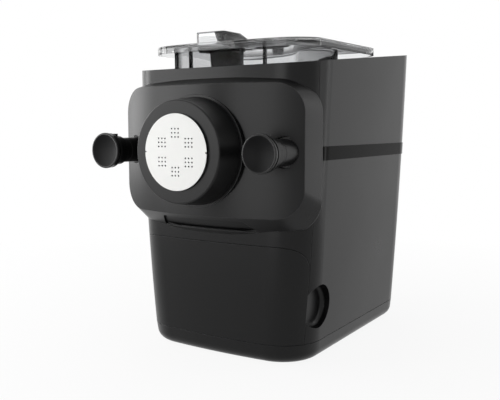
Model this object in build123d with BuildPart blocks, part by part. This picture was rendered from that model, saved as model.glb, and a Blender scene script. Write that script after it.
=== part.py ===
from build123d import *

import os
from math import atan, cos, pi, radians, sin, sqrt

os.makedirs("parts", exist_ok=True)

# Electric pasta maker. Flour and water are kneaded in a trough under a clear lid, and an auger
# on the same shaft pushes the dough through a die at the front. A drawer fills the foot.
# Millimetres. X is to the right seen from the front, Y runs to the back, Z is up from the table.
# A setback is a distance behind the die's front face.

# Body casing: a rounded plan that widens upwards, given at three heights
depth = 357.0
rim_front_height = 305.3
barrel_drop = 85.3
axis_height = rim_front_height - barrel_drop
seam_height = 23.0
seam_half_width = 103.2
seam_setback = 61.0
waist_drop = 55.0
waist_height = axis_height - waist_drop
waist_flare = 7.8
waist_half_width = seam_half_width + waist_flare
waist_setback = 56.0
crown_rise = 46.7
crown_height = rim_front_height + crown_rise
crown_flare = 14.6
crown_half_width = seam_half_width + crown_flare
crown_setback = 59.0
front_bow = 7.0
rear_bow = 4.0
front_corner = 45.0
rear_corner = 50.0
casing_wall = 2.6
fit_gap = 0.3
seam_gap = 0.5

# Sloping rim and the deck sunk below it
rim_setback = 57.0
rim_slope = 6.1
deck_drop = 6.0
deck_thickness = 3.0

# Foot
foot_stand = 2.0
foot_tuck = 2.2
foot_half_width = seam_half_width - foot_tuck
foot_front_tuck = 2.5
foot_setback = seam_setback + foot_front_tuck
plinth_edge = 12.0
plinth_wall = 3.0

# Front frame, side seams and rear cover
side_seam_setback = 85.0
rear_seam_half_width = 62.0

# Bulkhead that carries the drive behind the drawer and the chamber
drive_length = 125.0
bulkhead_setback = depth - drive_length
bulkhead_thickness = 3.0

# Drawer
drawer_drop = 95.0
drawer_top = axis_height - drawer_drop
drawer_corner = 27.0
tray_side_room = 12.2
tray_half_width = seam_half_width - tray_side_room
tray_floor_height = 28.0
tray_headroom = 13.0
tray_height = drawer_top - tray_headroom - tray_floor_height
tray_rear_room = 10.0
tray_rear_setback = bulkhead_setback - tray_rear_room
tray_wall = 2.0
scoop_radius = 23.0
scoop_height = 60.0
scoop_setback = 103.0
scoop_depth = 10.0

# Mixing chamber
chamber_side_room = 40.8
chamber_radius = crown_half_width - chamber_side_room
chamber_wall = 3.0
chamber_front_setback = 64.0
chamber_rear_room = 3.0
chamber_rear_setback = bulkhead_setback - chamber_rear_room
lintel_drop = 17.3
lintel_height = rim_front_height - lintel_drop
lintel_corner = 22.0
mouth_front_setback = 78.3
mouth_corner = 20.7

# Front panel, bowed in plan, with a sloping band round its face
panel_edge_setback = 55.0
panel_edge_sag = 30.0
panel_edge_tuck = 1.8
panel_edge_half_width = crown_half_width - panel_edge_tuck
panel_edge_drop = 85.0
panel_edge_low = axis_height - panel_edge_drop
panel_rim_room = 11.8
panel_edge_high = rim_front_height - panel_rim_room
panel_edge_corner = 37.0
panel_face_setback = 33.0
panel_face_sag = 24.0
panel_side_band = 5.0
panel_lower_band = 20.0
panel_upper_band = 6.9
panel_face_half_width = panel_edge_half_width - panel_side_band
panel_face_low = panel_edge_low + panel_lower_band
panel_face_high = panel_edge_high - panel_upper_band
panel_face_corner = 28.0
panel_wall = 3.0

# Finger recess in the band below the ring, along which the panel is pulled off
grip_low_margin = 4.5
grip_high_margin = 3.7
grip_low = panel_edge_low + grip_low_margin
grip_high = panel_face_low - grip_high_margin
grip_low_half_width = 59.0
grip_high_half_width = 50.0
grip_corner = 6.0
grip_sink = 1.7

# Die, locking ring and extrusion tube
die_face_radius = 37.4
die_flange_radius = 41.0
die_thickness = 12.0
die_lip = 4.7
die_hole_radius = 0.85
die_hole_pitch = 3.93
die_group_radius = 18.73
ring_front_radius = 50.6
ring_rear_radius = 54.2
ring_front_setback = 2.4
ring_rear_setback = 31.9
tube_radius = 45.0
tube_bore = 28.0
tube_flange_radius = 52.0
tube_flange_setback = 50.0
tube_flange_thickness = 3.0
tube_rear_radius = 40.0
plug_rear_setback = 68.0
running_gap = 0.08
held_gap = 0.05

# Knobs and their clamp screws
knob_edge_room = 22.4
knob_offset = panel_edge_half_width - knob_edge_room
knob_radius = 18.35
knob_face_setback = 1.0
knob_cap_thickness = 4.6
knob_drum_radius = 15.0
knob_neck_radius = 13.0
knob_rear_setback = 29.7
pocket_radius = 15.2
pocket_setback = 51.5
screw_radius = 5.0
bush_radius = 7.0
bush_front_setback = 67.0
bush_rear_setback = 83.0

# Mixer and its drive
shaft_radius = 8.0
shaft_tip_radius = 6.0
paddle_room = 7.0
paddle_reach = chamber_radius - paddle_room
auger_clearance = 0.6
auger_pitch = 30.0
gear_module = 2.0
gear_teeth = 56
pinion_teeth = 16
gear_width = 12.0
gearbox_depth = 27.0
gearbox_wall = 3.0
motor_radius = 38.0
motor_length = 75.0
motor_shaft_radius = 4.0
motor_vent_circle = 26.0
motor_vents = 8

# Lid
lid_front_setback = 75.0
lid_stand = 24.3
lid_front_height = rim_front_height + lid_stand
lid_slope = 1.85
lid_side_room = 20.8
lid_half_width = crown_half_width - lid_side_room
fascia_length = 88.0
fascia_setback = depth - fascia_length
lid_rear_room = 4.0
lid_length = fascia_setback - lid_rear_room - lid_front_setback
lid_corner = 35.0
lid_edge = 8.0
lid_plate = 3.0
lid_crown = 3.2
skirt_drop = 32.0
skirt_wall = 2.2


# Rear cover fittings and the glossy band
vent_height = 92.0
vent_length = 46.0
vent_slot = 4.0
vent_spacing = 9.0
vent_rows = 6
inlet_height = 46.0
inlet_width = 28.0
inlet_tall = 21.0
inlet_corner = 4.0
inlet_inset = 0.6
inlet_body = 26.0
inlet_cavity = 18.0
inlet_wall = 2.0
blade_pitch = 7.0
blade_rise = 3.0
blade_width = 2.0
blade_tall = 4.0
blade_length = 11.0
band_width = 14.0
band_drop = 9.0
band_low = axis_height - band_drop
band_thickness = 0.95
band_seat = 0.25
band_start = 4.0

# Feet, weighing cells, runners and base screws
foot_radius = 11.0
foot_stem_radius = 4.0
foot_side_room = 23.2
foot_offset = seam_half_width - foot_side_room
foot_front_setback = 118.0
foot_rear_room = 57.0
foot_rear_setback = depth - foot_rear_room
cell_length = 44.0
cell_width = 12.0
cell_height = 8.0
cell_stand = 2.0
runner_offset = 62.0
runner_width = 8.0
base_screw_radius = 2.0
base_screw_head = 3.8
runner_screw_front = 95.0
runner_end = 17.0
runner_screw_rear = tray_rear_setback - runner_end
bulkhead_foot_depth = 9.0
bulkhead_foot_setback = bulkhead_setback + bulkhead_foot_depth
base_screw_length = 14.0
base_screw_rise = 1.2
tray_front_setback = 66.0

# Chassis
shelf_gap = 3.0
shelf_height = drawer_top + shelf_gap
shelf_thickness = 3.0
cradle_front_room = 26.0
cradle_rear_room = 19.0
cradle_setbacks = (chamber_front_setback + cradle_front_room, chamber_rear_setback - cradle_rear_room)
cradle_half_width = 60.0
cradle_rise = 42.0
bulkhead_side_room = 7.2
bulkhead_half_width = seam_half_width - bulkhead_side_room
bulkhead_rise = 80.0
bulkhead_top = axis_height + bulkhead_rise
bearing_radius = 13.0

# Details of the panel, the die and the knobs
ring_seat_margin = 2.5
plate_thickness = 2.4
seal_thickness = 1.8
seal_width = 3.5
boss_wall = 3.0
die_web = 4.0
die_notch = 1.4
ring_edge = 1.6
knob_dish = 1.4
knob_edge = 1.2
knob_drum_setback = 21.0
knob_flange = 2.0
knob_flange_step = 0.4
knob_tab_width = 6.5
knob_tab_radius = 17.3
knob_tab_length = 9.0

# Details of the lid
lid_bow = 9.0
skirt_gap = 0.7
hopper_left = -40.0
hopper_front = 12.0
hopper_flat = 44.0
hopper_length = 90.0
hopper_depth = 34.0
hopper_rise = 12.0
rib_offsets = (-62.0, -44.0, 14.0, 46.0)
rib_thickness = 2.0
rib_reach = 5.0
rib_drop = 24.0
cup_drop = 22.0
cup_wall = 1.6
cup_holes = 5
cup_hole_pitch = 6.5
cup_hole_radius = 1.3

# Details of the mixer
hub_radius = 12.5
arm_thickness = 10.0
arm_width = 11.0
tip_length = 22.0
arm_front_room = 32.0
arm_rear_room = 27.0
arm_sides = (1, -1, 1, -1)
shaft_grip = 16.0
auger_front_setback = 17.0
auger_rear_setback = 100.0
arm_front_setback = auger_rear_setback + arm_front_room
arm_rear_setback = chamber_rear_setback - arm_rear_room
arm_spacing = (arm_rear_setback - arm_front_setback) / (len(arm_sides) - 1)
auger_core_radius = 9.0
flight_thickness = 4.0

# Details of the drive
pressure_angle = 20.0
gear_backlash = 0.25
gear_side_gap = 2.0
gear_case_margin = 8.0
motor_bearing_radius = 8.0
cover_screw_radius = 1.8
cover_screw_length = 14.0
lug_radius = 5.0
fan_length = 12.0
fan_gap = 2.0
fan_radius = 32.0
fan_blades = 9
fan_blade = 1.6
board_stand = 6.0
power_board_rear_room = 61.0
power_board_setback = depth - power_board_rear_room
power_board_width = 56.0
power_board_length = 74.0
pillar_margin = 5.0
filter_width = 25.0
filter_depth = 20.0
filter_tall = 20.0
capacitor_radius = 8.0
capacitor_tall = 28.0

# Controls on the deck behind the lid
fascia_step = 0.5
fascia_margin = 2.0
button_margin = 20.0
button_row = fascia_setback - rim_setback + button_margin
button_radius = 8.0
button_pitch = 34.0
button_stem_radius = 2.6
button_travel = 1.0
button_proud = 1.0
button_clip = 2.0
display_margin = 30.0
display_row = button_row + display_margin
display_width = 72.0
display_tall = 26.0
display_corner = 3.0
switch_height = 3.5
board_width = 150.0
board_depth = 62.0
board_thickness = 1.6
button_spots = [((column - 1.5) * button_pitch, button_row) for column in range(4)]

front = -depth / 2
rear = depth / 2 - band_thickness
floor_top = foot_stand + plinth_wall
foot_spots = [
    (side * foot_offset, front + setback)
    for side in (-1, 1)
    for setback in (foot_front_setback, foot_rear_setback)
]
base_screw_spots = [
    (side * runner_offset, front + setback)
    for side in (-1, 1)
    for setback in (runner_screw_front, runner_screw_rear, bulkhead_foot_setback)
]
barrel_axis = Axis((0, 0, axis_height), (0, 1, 0))
barrel_plane = Plane(origin=(0, front, axis_height), x_dir=(1, 0, 0), z_dir=(0, 0, 1))


def facing_front(setback):
    """Plane across the machine at a setback, its normal to the front and its origin on the barrel axis."""
    return Plane(origin=(0, front + setback, axis_height), x_dir=(1, 0, 0), z_dir=(0, -1, 0))


def sloped(setback, height, slope):
    """Plane that rises to the back by a slope in degrees, with its normal up."""
    tilt = radians(slope)
    return Plane(origin=(0, front + setback, height), x_dir=(1, 0, 0), z_dir=(0, -sin(tilt), cos(tilt)))


rim_plane = sloped(rim_setback, rim_front_height, rim_slope)
deck_plane = rim_plane.offset(-deck_drop)
lid_plane = sloped(lid_front_setback, lid_front_height, lid_slope)


# ---------------------------------------------------------------- casing
def casing_plan(height, half_width, setback, inset):
    """Plan of the body at one height: bowed front and rear, round corners."""
    near = front + setback
    with BuildSketch(Plane.XY.offset(height)) as plan:
        with BuildLine():
            ThreePointArc((-half_width, near + front_bow), (0, near), (half_width, near + front_bow))
            Line((half_width, near + front_bow), (half_width, rear - rear_bow))
            ThreePointArc((half_width, rear - rear_bow), (0, rear), (-half_width, rear - rear_bow))
            Line((-half_width, rear - rear_bow), (-half_width, near + front_bow))
        make_face()
        fillet(plan.vertices().group_by(Axis.Y)[0], front_corner)
        fillet(plan.vertices().group_by(Axis.Y)[-1], rear_corner)
        if inset:
            offset(amount=-inset)
    return plan.sketch


def casing_sections(inset=0.0):
    """The three plans that the body is lofted through, moved inwards by an inset."""
    return [
        casing_plan(seam_height, seam_half_width, seam_setback, inset),
        casing_plan(waist_height, waist_half_width, waist_setback, inset),
        casing_plan(crown_height, crown_half_width, crown_setback, inset),
    ]


with BuildPart() as casing:
    loft(sections=casing_sections())

with BuildPart() as casing_inside:
    loft(sections=casing_sections(casing_wall))

with BuildPart() as casing_cavity:
    loft(sections=casing_sections(casing_wall + fit_gap))

with BuildPart() as casing_tube:
    add(casing.part)
    add(casing_inside.part, mode=Mode.SUBTRACT)
    split(bisect_by=rim_plane, keep=Keep.BOTTOM)

side_seam = Plane(origin=(0, front + side_seam_setback, 0), z_dir=(0, 1, 0))


def drawer_outline(gap):
    """Side view of the drawer front, square at the foot and round at its top rear corner."""
    length = side_seam_setback + gap
    height = drawer_top + gap
    with BuildSketch(Plane.YZ.offset(-crown_half_width)) as outline:
        with Locations((front + length / 2, height / 2)):
            Rectangle(length, height)
        top_rear = outline.vertices().group_by(Axis.X)[-1].sort_by(Axis.Y)[-1]
        fillet(top_rear, drawer_corner + gap)
    return outline.sketch


def trough_profile(plane, radius, top, corner):
    """U-shaped section of the chamber: half a circle about the barrel axis under straight sides."""
    rise = top - axis_height
    with BuildSketch(plane) as profile:
        with BuildLine():
            Polyline((-radius, 0), (-radius, rise), (radius, rise), (radius, 0))
            ThreePointArc((radius, 0), (0, -radius), (-radius, 0))
        make_face()
        if corner:
            fillet(profile.vertices().group_by(Axis.Y)[-1], corner)
    return profile.sketch


def trough_band(front_setback, rear_setback, radius, top, corner=0.0):
    """The trough's section carried from one setback to another."""
    with BuildPart() as band:
        extrude(
            trough_profile(facing_front(rear_setback), radius, top, corner), amount=rear_setback - front_setback
        )
    return band.part


boss_radius = bush_radius + boss_wall

with BuildPart() as front_frame:
    add(casing_tube.part)
    split(bisect_by=side_seam, keep=Keep.BOTTOM)
    extrude(drawer_outline(seam_gap), amount=2 * crown_half_width, mode=Mode.SUBTRACT)
    add(
        trough_band(
            0,
            side_seam_setback,
            chamber_radius + seal_width + seam_gap,
            lintel_height + seal_width + seam_gap,
            lintel_corner + seal_width + seam_gap,
        ),
        mode=Mode.SUBTRACT,
    )

with BuildPart() as clamp_bosses:
    with BuildSketch(facing_front(bush_rear_setback)):
        with Locations((-knob_offset, 0), (knob_offset, 0)):
            Circle(boss_radius)
    extrude(amount=bush_rear_setback)
    add(casing.part, mode=Mode.INTERSECT)

with BuildPart() as front_frame_bossed:
    add(front_frame.part)
    add(clamp_bosses.part)
    with BuildSketch(facing_front(bush_rear_setback)):
        with Locations((-knob_offset, 0), (knob_offset, 0)):
            Circle(bush_radius + held_gap)
    extrude(amount=bush_rear_setback - bush_front_setback, mode=Mode.SUBTRACT)
    with BuildSketch(facing_front(bush_rear_setback)):
        with Locations((-knob_offset, 0), (knob_offset, 0)):
            Circle(screw_radius + fit_gap)
    extrude(amount=bush_rear_setback, mode=Mode.SUBTRACT)
front_frame_bossed.part.label = "front_frame"
export_step(front_frame_bossed.part, "parts/front_frame.step")

scoop_share = (scoop_height - seam_height) / (waist_height - seam_height)
scoop_floor = seam_half_width + (waist_half_width - seam_half_width) * scoop_share - scoop_depth
scoop_plane = Plane(origin=(0, front + scoop_setback, scoop_height), x_dir=(0, 1, 0), z_dir=(1, 0, 0))

with BuildPart() as behind_seam:
    add(casing.part)
    split(bisect_by=side_seam.offset(seam_gap), keep=Keep.TOP)

with BuildPart() as under_drawer_edge:
    loft(sections=casing_sections(casing_wall + seam_gap))
    split(bisect_by=side_seam.offset(seam_gap), keep=Keep.BOTTOM)

with BuildPart() as scoop_cup:
    with BuildSketch(scoop_plane.offset(scoop_floor - casing_wall)):
        Circle(scoop_radius + casing_wall)
    extrude(amount=2 * scoop_depth)
    add(behind_seam.part + under_drawer_edge.part, mode=Mode.INTERSECT)

with BuildPart() as scoop_space:
    with BuildSketch(scoop_plane.offset(scoop_floor)):
        Circle(scoop_radius)
    extrude(amount=2 * scoop_depth)
    fillet(scoop_space.faces().sort_by(Axis.X)[0].edges(), scoop_depth / 2)

with BuildPart() as right_side_panel:
    add(casing_tube.part)
    split(bisect_by=side_seam.offset(seam_gap), keep=Keep.TOP)
    split(bisect_by=Plane.YZ.offset(rear_seam_half_width + seam_gap), keep=Keep.TOP)
    add(scoop_cup.part)
    add(scoop_space.part, mode=Mode.SUBTRACT)
right_side_panel.part.label = "right_side_panel"
export_step(right_side_panel.part, "parts/right_side_panel.step")

with BuildPart() as left_side_panel:
    mirror(right_side_panel.part, about=Plane.YZ)
left_side_panel.part.label = "left_side_panel"
export_step(left_side_panel.part, "parts/left_side_panel.step")

with BuildPart() as rear_cover:
    add(casing_tube.part)
    split(bisect_by=side_seam, keep=Keep.TOP)
    split(bisect_by=Plane.YZ.offset(rear_seam_half_width), keep=Keep.BOTTOM)
    split(bisect_by=Plane.YZ.offset(-rear_seam_half_width), keep=Keep.TOP)
    with BuildSketch(Plane.XZ.offset(-rear)):
        with Locations((0, vent_height)):
            with GridLocations(vent_length + vent_spacing, vent_spacing, 2, vent_rows):
                SlotOverall(vent_length, vent_slot)
    extrude(amount=2 * casing_wall + rear_bow, mode=Mode.SUBTRACT)
    with BuildSketch(Plane.XZ.offset(-rear)):
        with Locations((0, inlet_height)):
            RectangleRounded(inlet_width + 2 * fit_gap, inlet_tall + 2 * fit_gap, inlet_corner + fit_gap)
    extrude(amount=2 * casing_wall + rear_bow, mode=Mode.SUBTRACT)
rear_cover.part.label = "rear_cover"
export_step(rear_cover.part, "parts/rear_cover.step")

# Appliance inlet: a socket with three blades, let into the rear cover
with BuildPart() as power_inlet:
    with BuildSketch(Plane.XZ.offset(-rear + inlet_inset)):
        with Locations((0, inlet_height)):
            RectangleRounded(inlet_width, inlet_tall, inlet_corner)
    extrude(amount=inlet_body)
    with BuildSketch(Plane.XZ.offset(-rear + inlet_inset)):
        with Locations((0, inlet_height)):
            RectangleRounded(inlet_width - 2 * inlet_wall, inlet_tall - 2 * inlet_wall, inlet_corner - 1)
    extrude(amount=inlet_cavity, mode=Mode.SUBTRACT)
    with BuildSketch(Plane.XZ.offset(-rear + inlet_inset + inlet_cavity)):
        with Locations((-blade_pitch, inlet_height), (0, inlet_height + blade_rise), (blade_pitch, inlet_height)):
            Rectangle(blade_width, blade_tall)
    extrude(amount=-blade_length)
power_inlet.part.label = "power_inlet"
export_step(power_inlet.part, "parts/power_inlet.step")

# Glossy band round the sides and the rear, let onto the panels
with BuildPart() as side_band:
    loft(sections=casing_sections(-band_thickness))
    loft(sections=casing_sections(-band_seat), mode=Mode.SUBTRACT)
    add(casing.part, mode=Mode.SUBTRACT)
    split(bisect_by=Plane.XY.offset(band_low), keep=Keep.TOP)
    split(bisect_by=Plane.XY.offset(band_low + band_width), keep=Keep.BOTTOM)
    split(bisect_by=side_seam.offset(band_start), keep=Keep.TOP)
side_band.part.label = "side_band"
export_step(side_band.part, "parts/side_band.step")

# ---------------------------------------------------------------- foot
with BuildPart() as base_plinth:
    loft(
        sections=[
            casing_plan(foot_stand, foot_half_width, foot_setback, 0),
            casing_plan(seam_height - seam_gap, seam_half_width, seam_setback, 0),
        ],
        ruled=True,
    )
    fillet(base_plinth.faces().sort_by(Axis.Z)[0].edges(), plinth_edge)
    loft(
        sections=[
            casing_plan(foot_stand + plinth_wall, foot_half_width, foot_setback, 2 * plinth_wall),
            casing_plan(seam_height, seam_half_width, seam_setback, plinth_wall),
        ],
        ruled=True,
        mode=Mode.SUBTRACT,
    )
    with Locations(*[(x, y, foot_stand) for x, y in foot_spots]):
        Cylinder(
            foot_stem_radius + fit_gap,
            plinth_wall,
            align=(Align.CENTER, Align.CENTER, Align.MIN),
            mode=Mode.SUBTRACT,
        )
    with Locations(*[(x, y, foot_stand) for x, y in base_screw_spots]):
        Cylinder(
            base_screw_radius + held_gap,
            plinth_wall,
            align=(Align.CENTER, Align.CENTER, Align.MIN),
            mode=Mode.SUBTRACT,
        )
base_plinth.part.label = "base_plinth"
export_step(base_plinth.part, "parts/base_plinth.step")

with BuildPart() as feet:
    with Locations(*[(x, y, 0) for x, y in foot_spots]):
        Cylinder(foot_radius, foot_stand, align=(Align.CENTER, Align.CENTER, Align.MIN))
    fillet(feet.faces().group_by(Axis.Z)[0].edges(), foot_stand / 3)
    with Locations(*[(x, y, foot_stand) for x, y in foot_spots]):
        Cylinder(foot_stem_radius, plinth_wall + cell_stand, align=(Align.CENTER, Align.CENTER, Align.MIN))
feet.part.label = "feet"
export_step(feet.part, "parts/feet.step")

# Weighing cells: a bar over each foot, pressed at one end and held on a pad at the other
with BuildPart() as load_cells:
    for x, y in foot_spots:
        inward = 1 if y < 0 else -1
        with Locations((x, y + inward * (cell_length / 2 - cell_width / 2), floor_top + cell_stand)):
            Box(cell_width, cell_length, cell_height, align=(Align.CENTER, Align.CENTER, Align.MIN))
        with Locations((x, y + inward * (cell_length - cell_width), floor_top)):
            Box(cell_width, cell_width, cell_stand, align=(Align.CENTER, Align.CENTER, Align.MIN))
load_cells.part.label = "load_cells"
export_step(load_cells.part, "parts/load_cells.step")

# Drawer runners screwed to the floor of the foot
runner_front_setback = tray_front_setback + 10
runner_length = tray_rear_setback - runner_front_setback
with BuildPart() as drawer_runners:
    with Locations(
        *[(side * runner_offset, front + runner_front_setback + runner_length / 2, floor_top) for side in (-1, 1)]
    ):
        Box(
            runner_width,
            runner_length,
            tray_floor_height - fit_gap - floor_top,
            align=(Align.CENTER, Align.CENTER, Align.MIN),
        )
    with Locations(*[(x, y, floor_top) for x, y in base_screw_spots]):
        Cylinder(
            base_screw_radius,
            base_screw_length,
            align=(Align.CENTER, Align.CENTER, Align.MIN),
            mode=Mode.SUBTRACT,
        )
drawer_runners.part.label = "drawer_runners"
export_step(drawer_runners.part, "parts/drawer_runners.step")

with BuildPart() as base_screws:
    with Locations(*[(x, y, foot_stand) for x, y in base_screw_spots]):
        Cylinder(base_screw_radius, plinth_wall + base_screw_length, align=(Align.CENTER, Align.CENTER, Align.MIN))
    with Locations(*[(x, y, foot_stand) for x, y in base_screw_spots]):
        Cylinder(base_screw_head, base_screw_rise, align=(Align.CENTER, Align.CENTER, Align.MAX))
base_screws.part.label = "base_screws"
export_step(base_screws.part, "parts/base_screws.step")

# ---------------------------------------------------------------- chassis and mixing chamber
shelf_rear = bulkhead_setback + bulkhead_thickness
trough_outside = chamber_radius + chamber_wall
with BuildPart() as chassis:
    with BuildSketch(Plane.XY.offset(shelf_height)):
        with Locations((0, front + shelf_rear / 2)):
            Rectangle(2 * crown_half_width, shelf_rear)
    extrude(amount=shelf_thickness)
    for setback in cradle_setbacks:
        with BuildSketch(facing_front(setback)):
            with Locations((0, shelf_height - axis_height)):
                Rectangle(2 * cradle_half_width, cradle_rise, align=(Align.CENTER, Align.MIN))
        extrude(amount=bulkhead_thickness)
    add(
        trough_band(0, depth, trough_outside + fit_gap, crown_height),
        mode=Mode.SUBTRACT,
    )
    with BuildSketch(facing_front(shelf_rear)):
        with Locations((0, floor_top - axis_height)):
            Rectangle(2 * bulkhead_half_width, bulkhead_top - floor_top, align=(Align.CENTER, Align.MIN))
    extrude(amount=bulkhead_thickness)
    with Locations(*[(side * runner_offset, front + bulkhead_foot_setback, floor_top) for side in (-1, 1)]):
        Box(
            4 * base_screw_radius,
            2 * (bulkhead_foot_setback - shelf_rear),
            base_screw_length + base_screw_radius,
            align=(Align.CENTER, Align.CENTER, Align.MIN),
        )
    with Locations(*[(x, y, floor_top) for x, y in base_screw_spots]):
        Cylinder(
            base_screw_radius,
            base_screw_length,
            align=(Align.CENTER, Align.CENTER, Align.MIN),
            mode=Mode.SUBTRACT,
        )
    with BuildSketch(facing_front(shelf_rear)):
        Circle(bearing_radius)
    extrude(amount=bulkhead_thickness, mode=Mode.SUBTRACT)
with BuildPart() as chassis_trim:
    loft(
        sections=[
            casing_plan(floor_top, foot_half_width, foot_setback, 2 * plinth_wall + fit_gap),
            casing_plan(seam_height, seam_half_width, seam_setback, plinth_wall + fit_gap),
        ],
        ruled=True,
    )
    add(casing_cavity.part)
with BuildPart() as chassis_trimmed:
    add(chassis.part)
    add(chassis_trim.part, mode=Mode.INTERSECT)
chassis_trimmed.part.label = "chassis"
export_step(chassis_trimmed.part, "parts/chassis.step")

with BuildPart() as mixing_chamber:
    add(trough_band(chamber_front_setback, chamber_rear_setback, trough_outside, crown_height))
    add(
        trough_band(
            chamber_front_setback + chamber_wall,
            chamber_rear_setback - chamber_wall,
            chamber_radius,
            crown_height,
        ),
        mode=Mode.SUBTRACT,
    )
    add(
        trough_band(0, chamber_front_setback + chamber_wall, chamber_radius, lintel_height, lintel_corner),
        mode=Mode.SUBTRACT,
    )
    split(bisect_by=deck_plane.offset(-deck_thickness), keep=Keep.BOTTOM)
    with BuildSketch(facing_front(chamber_rear_setback)):
        Circle(bearing_radius)
    extrude(amount=chamber_wall, mode=Mode.SUBTRACT)
mixing_chamber.part.label = "mixing_chamber"
export_step(mixing_chamber.part, "parts/mixing_chamber.step")


def mouth_plan(inset, corner):
    """Plan of the chamber's mouth, moved inwards by an inset."""
    length = chamber_rear_setback - chamber_wall - mouth_front_setback
    with BuildSketch(Plane.XY.offset(axis_height)) as plan:
        with Locations((0, front + mouth_front_setback + length / 2)):
            RectangleRounded(2 * (chamber_radius - inset), length - 2 * inset, corner)
    return plan.sketch


# Deck inside the sloping rim, with the chamber's mouth and the stem holes of the buttons
with BuildPart() as top_deck:
    add(casing_cavity.part)
    split(bisect_by=deck_plane, keep=Keep.BOTTOM)
    split(bisect_by=deck_plane.offset(-deck_thickness), keep=Keep.TOP)
    extrude(mouth_plan(0, mouth_corner), amount=crown_height, mode=Mode.SUBTRACT)
    with BuildSketch(deck_plane):
        with Locations(*button_spots):
            Circle(button_stem_radius + fit_gap)
    extrude(amount=-deck_thickness, mode=Mode.SUBTRACT)
top_deck.part.label = "top_deck"
export_step(top_deck.part, "parts/top_deck.step")

# ---------------------------------------------------------------- controls behind the lid
fascia_plane = deck_plane.offset(deck_drop - fascia_step)
with BuildPart() as control_fascia:
    loft(sections=casing_sections(casing_wall + fascia_margin))
    split(bisect_by=fascia_plane, keep=Keep.BOTTOM)
    split(bisect_by=deck_plane, keep=Keep.TOP)
    split(bisect_by=Plane(origin=(0, front + fascia_setback, 0), z_dir=(0, 1, 0)), keep=Keep.TOP)
    fillet(control_fascia.edges().filter_by(Axis.X).sort_by(Axis.Z)[-1], fascia_step)
    with BuildSketch(fascia_plane):
        with Locations(*button_spots):
            Circle(button_radius + fit_gap)
    extrude(amount=-deck_drop, mode=Mode.SUBTRACT)
    with BuildSketch(fascia_plane):
        with Locations((0, display_row)):
            RectangleRounded(display_width + 2 * fit_gap, display_tall + 2 * fit_gap, display_corner + fit_gap)
    extrude(amount=-deck_drop, mode=Mode.SUBTRACT)
control_fascia.part.label = "control_fascia"
export_step(control_fascia.part, "parts/control_fascia.step")

with BuildPart() as display_window:
    with BuildSketch(deck_plane):
        with Locations((0, display_row)):
            RectangleRounded(display_width, display_tall, display_corner)
    extrude(amount=deck_drop - fascia_step)
display_window.part.label = "display_window"
export_step(display_window.part, "parts/display_window.step")

button_names = ["power_button", "weigh_button", "program_button", "start_button"]
for name, spot in zip(button_names, button_spots):
    with BuildPart() as button:
        with BuildSketch(deck_plane.offset(button_travel + fit_gap)):
            with Locations(spot):
                Circle(button_radius)
        extrude(amount=deck_drop - fascia_step + button_proud - button_travel - fit_gap)
        fillet(button.edges().filter_by(GeomType.CIRCLE).sort_by(Axis.Z)[-1], button_proud / 2)
        with BuildSketch(deck_plane.offset(button_travel + fit_gap)):
            with Locations(spot):
                Circle(button_stem_radius)
        extrude(amount=-(button_travel + fit_gap + deck_thickness + button_clip))
        with BuildSketch(deck_plane.offset(-deck_thickness - fit_gap)):
            with Locations(spot):
                Circle(button_stem_radius + 2 * fit_gap)
        extrude(amount=-button_clip + fit_gap)
    button.part.label = name
    export_step(button.part, "parts/" + name + ".step")

# Control board under the deck: pillars up to the deck and a switch under each button
board_top = -(deck_thickness + button_clip + button_travel + fit_gap + switch_height)
with BuildPart() as control_board:
    with BuildSketch(deck_plane.offset(board_top)):
        with Locations((0, display_row)):
            RectangleRounded(board_width, board_depth, display_corner)
    extrude(amount=-board_thickness)
    with BuildSketch(deck_plane.offset(board_top)):
        with Locations(*button_spots):
            Rectangle(2 * switch_height, 2 * switch_height)
    extrude(amount=switch_height)
    with BuildSketch(deck_plane.offset(board_top)):
        with Locations((0, display_row)):
            with GridLocations(board_width - 4 * switch_height, board_depth - 3 * switch_height, 2, 2):
                Circle(button_stem_radius)
    extrude(amount=-board_top - deck_thickness)
control_board.part.label = "control_board"
export_step(control_board.part, "parts/control_board.step")

# ---------------------------------------------------------------- front panel
def bowed_face(setback, sag, half_width, low, high, corner):
    """Rounded rectangle lying on an upright cylinder, foremost in the middle."""
    bow_radius = (half_width**2 + sag**2) / (2 * sag)
    bow_centre = front + setback + bow_radius
    with BuildPart() as bowed:
        with BuildSketch(Plane.XY.offset(low - corner)):
            with Locations((0, bow_centre)):
                Circle(bow_radius)
        extrude(amount=high - low + 2 * corner)
        with BuildSketch(Plane.XZ.offset(-bow_centre)):
            with Locations((0, (low + high) / 2)):
                RectangleRounded(2 * half_width, high - low, corner)
        extrude(amount=2 * bow_radius, mode=Mode.INTERSECT)
    return bowed.part.faces().sort_by(Axis.Y)[0]


def panel_form(inset):
    """The panel's dome between its face and its outer edge, moved inwards by an inset."""
    face = bowed_face(
        panel_face_setback + inset,
        panel_face_sag,
        panel_face_half_width - inset,
        panel_face_low + inset,
        panel_face_high - inset,
        panel_face_corner - inset / 2,
    )
    edge = bowed_face(
        panel_edge_setback + inset,
        panel_edge_sag,
        panel_edge_half_width - inset,
        panel_edge_low + inset,
        panel_edge_high - inset,
        panel_edge_corner - inset / 2,
    )
    with BuildPart() as form:
        loft(sections=[face, edge], ruled=True)
    return form.part


with BuildPart() as panel_outside:
    add(panel_form(0))
    loft(sections=casing_sections(-fit_gap), mode=Mode.SUBTRACT)

with BuildPart() as grip_recess:
    with BuildSketch(Plane.XZ.offset(-front)) as grip_outline:
        with BuildLine():
            Polyline(
                (-grip_low_half_width, grip_low),
                (-grip_high_half_width, grip_high),
                (grip_high_half_width, grip_high),
                (grip_low_half_width, grip_low),
                close=True,
            )
        make_face()
        fillet(grip_outline.vertices().group_by(Axis.Y)[-1], grip_corner)
    extrude(amount=-(panel_edge_setback + panel_edge_sag))
    add(panel_form(grip_sink), mode=Mode.SUBTRACT)

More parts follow.
